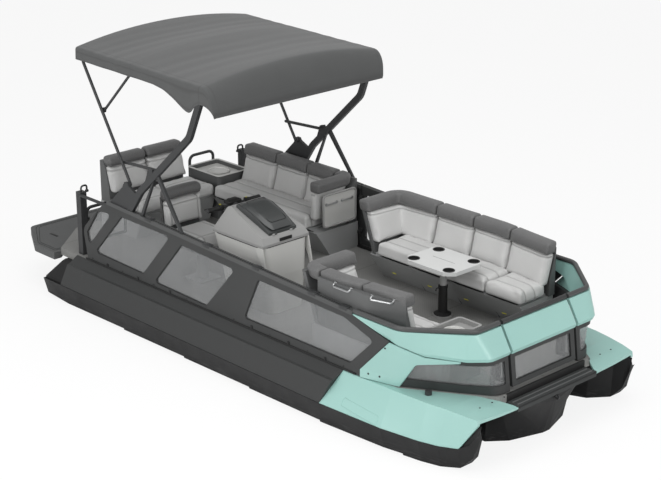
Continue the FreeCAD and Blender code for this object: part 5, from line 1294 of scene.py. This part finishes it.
def quarter_screws():
    """Round-headed screws through the quarter panels into the bow fence."""
    look = surface("quarter_panels")
    screw = lathe([(0.0085, -0.001), (0.0085, 0.0016), (0.0060, 0.0034), (0.0, 0.0034)], sides=10)
    outside = 1.4
    found = [look((x, side * outside, z), (0, -side, 0)) for side in both_sides
             for x, z in ((1.930, 0.520), (2.120, 0.800), (2.560, 0.815), (2.030, 0.520))]
    scatter("quarter_panel_screws", [hit for hit in found if hit[0]], screw, rubber)


def stern_and_rails():
    """Couplings along the side rails, and the stern posts' brackets and hooks."""
    rail_ends = (-1.090, 1.763, 1.121, 1.004)
    coupling_places = (-0.82, -0.02, 0.62, 1.30, 1.66)
    gateway = (-0.33, 0.28)
    bracket_heights = (0.56, 0.80, 1.02)
    rail_out = 1.045
    coupling_half = 0.045
    rail_half = 0.030
    bracket_half = 0.033
    bracket_deep = 0.034
    post_x = -1.935
    post_out = 0.990
    hook_out = 0.925
    hook_high = 1.135
    cap = [(0.012, 0.0), (0.012, 0.006), (0.0, 0.008)]
    button = [(0.014, 0.0), (0.018, 0.006), (0.018, 0.016), (0.010, 0.024), (0.0, 0.026)]
    dark = Shape()
    for side in both_sides:
        for x in coupling_places:
            if side > 0 and gateway[0] < x < gateway[1]:
                continue
            rail = between(x, *rail_ends)
            dark.add(block((x - coupling_half, side * rail_out - rail_half, rail - 0.022),
                           (x + coupling_half, side * rail_out + rail_half, rail + 0.007), 0.006),
                     lathe(cap, (x + 0.02, side * rail_out, rail + 0.006), sides=12))
        for z in bracket_heights:
            dark.add(block((post_x - bracket_half, side * post_out - bracket_deep, z),
                           (post_x + bracket_half, side * post_out + bracket_deep, z + 0.030), 0.005))
        hook = [(post_x, side * post_out, 1.050), (post_x, side * post_out, hook_high),
                (post_x, side * hook_out, hook_high), (post_x, side * hook_out, 1.085)]
        dark.add(rod(rounded_line(hook, 0.03), 0.009, sides=10),
                 lathe(button, (post_x, side * hook_out, 1.068), sides=14))
    dark.keep("rail_couplings", frame_black)


# Trim on the seats' bases and arms
base_top = 0.742


def base_front(z):
    """The sloping front of a seat's base, out from the boat's middle."""
    return between(z, deck_top, base_top, 0.655, 0.477)


def base_shade_sheet(side, low, high):
    """A black sheet of painted shade on the base's front under the overhanging cushion, deepest towards its
    fore end.
    """
    top = base_top - 0.0015
    end_space = 0.015
    least = 0.006
    sag = 0.026
    outer = 0.0015
    inner = -0.003
    sections = []
    for step in range(9):
        share = step / 8
        x = low + end_space + (high - low - 2 * end_space) * share
        deep = base_top - least - sag * math.sin(math.pi * share) * (0.35 + 0.65 * share)
        sections.append([(x, side * (base_front(z) - out), z)
                         for z, out in ((top, outer), (deep, outer), (deep, inner), (top, inner))])
    return strip(sections, closed=True)


def base_trim():
    """Curved seams, painted shade under the cushions and yellow pull tabs on the side seats' base fronts."""
    tab_half = 0.025
    tab_thick = 0.004
    tab_low = 0.552
    tab_high = 0.570
    tab_middle = 0.56
    front_lean = math.atan2(0.178, 0.272)
    seam_radius = 0.0026
    seams = Shape()
    # gaps gathers the black sheets of painted shade under the cushions.
    gaps = Shape()
    tabs = Shape()
    for side, ends, splits, pulls in ((1, (0.53, 2.16), (0.903, 1.340, 1.781), (0.601, 1.040, 1.472, 1.904)),
                                      (-1, (1.38, 2.16), (1.781,), (1.560, 1.980)),
                                      (1, (-1.77, -0.32), (-1.300, -0.860), (-1.520, -1.080, -0.640))):
        for x in splits:
            line = [(x + sway, side * (base_front(z) - 0.0005), z)
                    for sway, z in ((0.0, 0.728), (0.004, 0.66), (0.013, 0.58), (0.030, 0.476))]
            seams.add(rod(rounded_line(line, 0.05, 4), seam_radius))
        turn = Matrix.Rotation(-side * front_lean, 3, "X")
        front = side * base_front(tab_middle)
        for x in pulls:
            tabs.add(block((x - tab_half, front - tab_thick, tab_low),
                           (x + tab_half, front + tab_thick, tab_high), 0.002, turn))
        stops = (ends[0], *splits, ends[1])
        for low, high in zip(stops, stops[1:]):
            gaps.add(base_shade_sheet(side, low, high))
    seams.keep("base_seams", rubber)
    # The black sheets are painted shade in the rubber finish, not real gaps.
    gaps.keep("base_shadow_gaps", rubber)
    tabs.keep("base_pull_tabs", tab_yellow)


def grab(first, last, out, radius=0.008):
    """A bent grab rail between two round feet."""
    first = Vector(first)
    last = Vector(last)
    out = Vector(out)
    foot = [(0.016, 0.0), (0.015, 0.004), (0.006, 0.006)]
    return (rod(rounded_line([first, first + out, last + out, last], 0.02, 4), radius, sides=8),
            lathe(foot, first, out.normalized(), sides=12), lathe(foot, last, out.normalized(), sides=12))


def arm_end():
    """Recessed light panel with a raised rim and two grab rails on the fore end of the aft sofa."""
    face = -0.293
    thick = 0.013
    rail_high = 0.985
    rail_out = (0.007, 0, 0)
    rail_radius = 0.0065
    outline = corners((0.560, 0.765), (0.975, 1.075), 0.035)
    Shape(plate(outline, "x", face - thick, face, 0.003)).keep("arm_end_panel", moulding_light)
    rim = ring([(face + 0.001, y, z) for y, z in outline], 0.010, sides=8)
    Shape(rim).keep("arm_end_rim", moulding_grey)
    rails = Shape()
    for low, high in ((0.600, 0.730), (0.800, 0.930)):
        rails.add(*grab((face, low, rail_high), (face, high, rail_high), rail_out, rail_radius))
    rails.keep("arm_end_rails", steel)


def lounge_rails():
    """Two grab rails along the outer side of the lounge's back."""
    rails = Shape(*grab((1.50, -0.994, 1.150), (1.68, -0.994, 1.150), (0, -0.034, -0.022)),
                  *grab((1.90, -0.984, 1.150), (2.08, -0.925, 1.150), (0.004, -0.030, -0.022)))
    rails.keep("lounge_grab_rails", steel)


def tray_trim():
    """Light rims and round recess rings in the corner unit and the bow pod."""
    rim = [(x, y, 0.9165) for x, y in corners((-2.283, 0.562), (-1.802, 0.943), 0.03)]
    floor = corners((-2.258, 0.587), (-1.827, 0.918), 0.02)
    corner_ring = [(0.115, 0.0), (0.118, 0.010), (0.108, 0.015), (0.098, 0.010), (0.095, 0.001)]
    pod_ring = [(0.088, 0.0), (0.091, 0.008), (0.083, 0.011), (0.075, 0.008), (0.072, 0.001)]
    corner_middle = (-2.035, 0.752, 0.8813)
    pod_middle = (2.325, -0.500, 0.8425)
    light = Shape(ring(rim, 0.012, sides=8, flat=0.5), plate(floor, "z", 0.8775, 0.8815, 0.001),
                  lathe(corner_ring, corner_middle), lathe(pod_ring, pod_middle))
    light.keep("tray_trim", moulding_light)


def table_trim():
    """Dark cup liners, side clamps, the slot across the top and the post's black sleeve."""
    middle_x = 1.425
    middle_y = 0.345
    cup_along = 0.202
    cup_across = 0.155
    clamp_along = 0.220
    clamp_half = 0.055
    slot_long = 0.125
    slot_half = 0.0015
    top = 0.975
    liner = [(0.0415, -0.018), (0.0415, 0.002), (0.044, 0.0048), (0.051, 0.0048), (0.0525, 0.0005),
             (0.0420, -0.0195)]
    liner_floor = [(0.0410, 0.0), (0.0410, 0.0012)]
    dark = Shape()
    for x in (middle_x - cup_along, middle_x + cup_along):
        for y in (middle_y - cup_across, middle_y + cup_across):
            dark.add(lathe(liner, (x, y, top)), lathe(liner_floor, (x, y, top - 0.0210)))
    dark.add(block((middle_x - slot_long, middle_y - slot_half, top - 0.0005),
                   (middle_x + slot_long, middle_y + slot_half, top + 0.0008), 0.0004))
    for x in (middle_x - clamp_along, middle_x + clamp_along):
        dark.add(block((x - clamp_half, middle_y - 0.011, 0.9455),
                       (x + clamp_half, middle_y + 0.011, 0.9395), 0.002))
    sleeve = [(0.0, 0.0), (0.075, 0.0), (0.078, 0.008), (0.060, 0.018), (0.040, 0.026), (0.0385, 0.24),
              (0.042, 0.244), (0.042, 0.264), (0.034, 0.268), (0.0, 0.268)]
    lever = [(middle_x, 0.305, 0.735), (middle_x, 0.262, 0.735), (middle_x, 0.254, 0.715)]
    dark.add(lathe(sleeve, (middle_x, middle_y, 0.481)), rod(lever, 0.006, sides=8))
    dark.keep("table_trim", rubber)


# Helm console and steering bar
console_y = -0.530
lid_line = ((-0.062, 1.345), (0.055, 1.332), (0.186, 1.285), (0.376, 1.199))


def lid_dome():
    """The bin lid's domed cover, a little above the lid's own bent plate."""
    length = 0.404
    upper = []
    for step in range(17):
        u = step / 16
        half = 0.143 * (1 - 0.16 * abs(2 * u - 0.9) ** 4)
        row = []
        for part in range(15):
            v = -1 + part / 7
            lift = 0.030 * max(0.0, 1 - abs(2 * u - 1) ** 5) ** 0.5 * max(0.0, 1 - abs(v) ** 5) ** 0.5
            x = -0.046 + length * u
            row.append(Vector((x, console_y + half * v, height_on(lid_line, x) + 0.0006 + lift)))
        upper.append(row)
    points, faces = strip(upper)
    under = [Vector((point.x, point.y, height_on(lid_line, point.x) + 0.0004)) for point in points]
    below = [[len(points) + index for index in reversed(face)] for face in faces]
    Shape((points + under, faces + below)).keep("lid_dome", lid_dark, "bin_lid")


def lid_groove():
    """A dark line run round the top of the lid's dome."""
    length = 0.310
    half = 0.094
    lift = 0.0295
    line = []
    for u, v in ((0, -1), (0, 1), (1, 1), (1, -1), (0, -1)):
        x = length * u
        line.append((x, console_y + half * v, height_on(lid_line, x)))
    lifted = [(point.x, point.y, height_on(lid_line, point.x) + lift)
              for point in rounded_line(line, 0.03, 4)]
    Shape(rod(lifted, 0.0022)).keep("lid_grooves", rubber, "bin_lid")


def console_trim():
    """The hood's seam, latch, side fins, net pocket with its yellow edge, and speaker."""
    seam = [(x, y, 1.080) for x, y in corners((-0.2555, -0.7955), (0.4005, -0.2645), 0.07)]
    latch = block((0.395, -0.600, 1.105), (0.4025, -0.460, 1.135), 0.003)
    pocket = plate(corners((-0.700, 0.640), (-0.470, 0.820), 0.02), "x", 0.380, 0.404, 0.002)
    speaker = plate(corners((-0.08, 0.560), (0.09, 0.730), 0.08), "y", -0.8005, -0.792, 0.002)
    Shape(ring(seam, 0.0035), latch, pocket, speaker).keep("console_trim", rubber)
    fin_thick = 0.010
    fin = [(0.300, 1.082), (0.400, 1.082), (0.448, 0.860), (0.440, 0.760), (0.398, 0.900)]
    fins = [plate(fin, "y", low, low + fin_thick, 0.003) for low in (-0.272, -0.798)]
    Shape(*fins).keep("console_fins", moulding_light)
    edge = [(0.406, -0.700, 0.822), (0.409, -0.585, 0.815), (0.406, -0.470, 0.822)]
    Shape(rod(edge, 0.004)).keep("console_pocket_edge", tab_yellow)


def bar_trim():
    """Ribbed grips, switch housings with yellow marks, levers and the pad over the steering bar's boss."""
    bar_x = -0.281
    bar_high = 1.261
    grip_out = 0.296
    switch_out = 0.150
    rib = 0.016
    profile = [(0.0, 0.0), (0.021, 0.002), (0.022, 0.010)]
    for step in range(6):
        profile += [(0.0215, 0.014 + rib * step), (0.0205, 0.018 + rib * step),
                    (0.0205, 0.024 + rib * step), (0.0215, 0.028 + rib * step)]
    profile += [(0.024, 0.114), (0.024, 0.118), (0.0, 0.118)]
    grips = Shape()
    marks = Shape()
    for side in both_sides:
        switch_y = console_y + side * switch_out
        grips.add(lathe(profile, (bar_x, console_y + side * grip_out, bar_high), (0, -side, 0), sides=16),
                  block((-0.306, switch_y - 0.024, 1.238), (-0.254, switch_y + 0.024, 1.288), 0.010))
        marks.add(block((-0.296, switch_y - 0.008, 1.2875), (-0.284, switch_y + 0.008, 1.2905), 0.001))
    grips.add(block((-0.338, -0.605, 1.268), (-0.252, -0.455, 1.304), 0.014),
              block((-0.322, -0.580, 1.298), (-0.270, -0.480, 1.312), 0.006))
    for side in both_sides:
        lever = [(-0.290, console_y + side * 0.178, 1.262), (-0.330, console_y + side * 0.190, 1.258),
                 (-0.338, console_y + side * 0.285, 1.256)]
        grips.add(rod(rounded_line(lever, 0.02, 4), 0.006, sides=8, flat=0.7))
    grips.keep("bar_grips", rubber, "steering")
    marks.keep("bar_marks", tab_yellow, "steering")


# Walls, deck, platform and bow step
platform_fore = -2.607
platform_length = 0.393
platform_half = 1.14
foot_out = 1.0635
foot_high = 0.4795
gate_aft = -0.30
gate_fore = 0.23


def foot_bar(side, places):
    """A black gap bar along one wall's foot, through the given stations."""
    return bar([(x, side * foot_out, foot_high) for x in places], 0.010, 0.013)


def platform_lines():
    """Two dark lines that follow the platform's edge, one inside the other."""
    insets = (0.045, 0.070)
    lift = 0.0004
    forms = []
    for inset in insets:
        for outline in outer_edges("swim_platform", upward):
            line = [(platform_fore + (point.x - platform_fore) * (1 - inset / platform_length),
                     point.y * (1 - inset / platform_half), point.z + lift) for point in outline]
            forms.append(rod(line + line[1:2], 0.0022))
    return forms


def wall_trim():
    """Black gaps at the walls' feet, the gates' sills, and the lines on the platform and bow step."""
    gate_sill = block((-0.290, 1.000, deck_top), (0.220, 1.058, 0.4930), 0.003)
    platform_mark = block((-2.69, -0.865, 0.4395), (-2.57, -0.840, 0.4420), 0.001)
    step_edge = bar([(2.9895, -0.47, 0.405), (2.9895, 0.47, 0.405)], 0.008, 0.010)
    bow_sill = block((2.846, -0.474, 0.4120), (2.868, 0.474, 0.4725), 0.003)
    dark = Shape(foot_bar(-1, (-1.80, -1.0, 0.0, 1.0, 1.80)), foot_bar(1, (-1.80, -1.0, gate_aft)),
                 foot_bar(1, (gate_fore, 1.0, 1.80)), gate_sill, *platform_lines(), platform_mark,
                 step_edge, bow_sill)
    dark.keep("wall_foot_trim", rubber)
    strips = [bar([(x, -0.455, 0.4135), (x, 0.455, 0.4135)], 0.014, 0.005) for x in (2.905, 2.955)]
    Shape(*strips).keep("bow_step_strips", moulding_dark)


def small_fixings():
    """Screws and clips at the walls' feet, screws at the bow edge and step, and drains in the deck."""
    screw = lathe([(0.0075, -0.001), (0.0075, 0.0014), (0.0055, 0.0030), (0.0028, 0.0030), (0.0024, 0.0016),
                   (0.0, 0.0016)], sides=10)
    places = []
    for side in both_sides:
        places += [((x, side * wall_face, 0.500), (0, side, 0))
                   for x in (-1.70, -1.24, -0.78, -0.32, 0.32, 0.78, 1.24, 1.66)]
        places += [((2.875, side * y, deck_top + 0.0002), upward) for y in (0.52, 0.66, 0.80)]
        places.append(((2.865, side * 0.44, 0.4122), upward))
    scatter("wall_screws", places, screw, rubber)
    drain = lathe([(0.010, -0.001), (0.010, 0.0008), (0.0, 0.0008)], sides=12)
    places = [((x, y, deck_top + 0.0002), upward)
              for x in (-1.55, -0.95, 0.62, 1.22, 1.82, 2.40) for y in (-0.18, 0.12)]
    scatter("deck_drains", places, drain, rubber)
    clip = block((-0.012, -0.020, -0.001), (0.012, 0.020, 0.007), 0.003)
    places = [((x, side * wall_face, 0.492), (0, side, 0))
              for side in both_sides for x in (-1.47, -1.01, -0.55, 0.55, 1.01, 1.45)]
    scatter("wall_clips", places, clip, rubber)


gaskets()
cover_recess()
quarter_screws()
stern_and_rails()
base_trim()
arm_end()
lounge_rails()
tray_trim()
table_trim()
lid_dome()
lid_groove()
console_trim()
bar_trim()
wall_trim()
small_fixings()


# Light, floor and camera
def make_light():
    """A plain grey surround for the object that the camera sees as white."""
    world = bpy.data.worlds.new("studio")
    bpy.context.scene.world = world
    world.use_nodes = True
    tree = world.node_tree
    tree.nodes.clear()
    path = tree.nodes.new("ShaderNodeLightPath")
    seen = tree.nodes.new("ShaderNodeMath")
    seen.operation = "MAXIMUM"
    tree.links.new(path.outputs["Is Camera Ray"], seen.inputs[0])
    tree.links.new(path.outputs["Is Transmission Ray"], seen.inputs[1])
    mixed = tree.nodes.new("ShaderNodeMixShader")
    tree.links.new(seen.outputs[0], mixed.inputs[0])
    for place, strength in ((1, 0.56), (2, 1.0)):
        glow = tree.nodes.new("ShaderNodeBackground")
        glow.inputs["Color"].default_value = (1, 1, 1, 1)
        glow.inputs["Strength"].default_value = strength
        tree.links.new(glow.outputs[0], mixed.inputs[place])
    out = tree.nodes.new("ShaderNodeOutputWorld")
    tree.links.new(mixed.outputs[0], out.inputs["Surface"])


def lamp(name, place, aim, size, power):
    light = bpy.data.lights.new(name, "AREA")
    light.shape = "RECTANGLE"
    light.size = size[0]
    light.size_y = size[1]
    light.energy = power
    holder = put(name, light)
    holder.location = place
    holder.rotation_euler = (Vector(aim) - Vector(place)).to_track_quat("-Z", "Y").to_euler()


def make_floor():
    """A wide floor, white to the camera, that keeps the boat's shadow."""
    finish = Finish("studio_floor", Roughness=0.9, Specular_IOR_Level=0.1)
    cloud = finish.noise(0.6, 2.0)
    finish.feed("Base Color", finish.mix(cloud, paint(243, 243, 243), paint(247, 247, 247)))
    path = finish.make("ShaderNodeLightPath", {}, {}, "Is Camera Ray")
    glow = finish.make("ShaderNodeEmission", {}, {"Color": (1, 1, 1, 1), "Strength": 1.0})
    plain = Wire(finish, finish.shader.outputs[0])
    mixed = finish.make("ShaderNodeMixShader", {}, {0: path * 0.85, 1: plain, 2: glow})
    finish.join(finish.tree.nodes["Material Output"].inputs["Surface"], mixed)
    half = 60.0
    mesh = mesh_of("studio_floor", [(-half, -half, 0), (half, -half, 0), (half, half, 0), (-half, half, 0)],
                   [(0, 1, 2, 3)])
    mesh.materials.append(finish.material)
    put("studio_floor", mesh)


def make_camera():
    """The photograph's camera, solved from the deck, wall and hull lines."""
    place = (10.444, -9.533, 5.979)
    yaw = math.radians(136.513)
    pitch = math.radians(-19.886)
    data = bpy.data.cameras.new("photo_camera")
    data.sensor_width = 36.0
    data.lens = 91.55
    data.clip_end = 200.0
    camera = put("photo_camera", data)
    camera.location = place
    ahead = Vector((math.cos(pitch) * math.cos(yaw), math.cos(pitch) * math.sin(yaw), math.sin(pitch)))
    camera.rotation_euler = ahead.to_track_quat("-Z", "Y").to_euler()
    bpy.context.scene.camera = camera


make_light()
lamp("high_soft", place=(1.5, -1.5, 9.0), aim=(0, 0, 0), size=(9.0, 7.0), power=400.0)
lamp("bow_soft", place=(10.0, -2.0, 4.5), aim=(0, 0, 0.8), size=(5.0, 4.0), power=250.0)
lamp("side_soft", place=(1.0, -10.0, 4.0), aim=(0, 0, 0.8), size=(6.0, 3.5), power=330.0)
make_floor()
make_camera()
bpy.context.scene.view_settings.view_transform = "Standard"
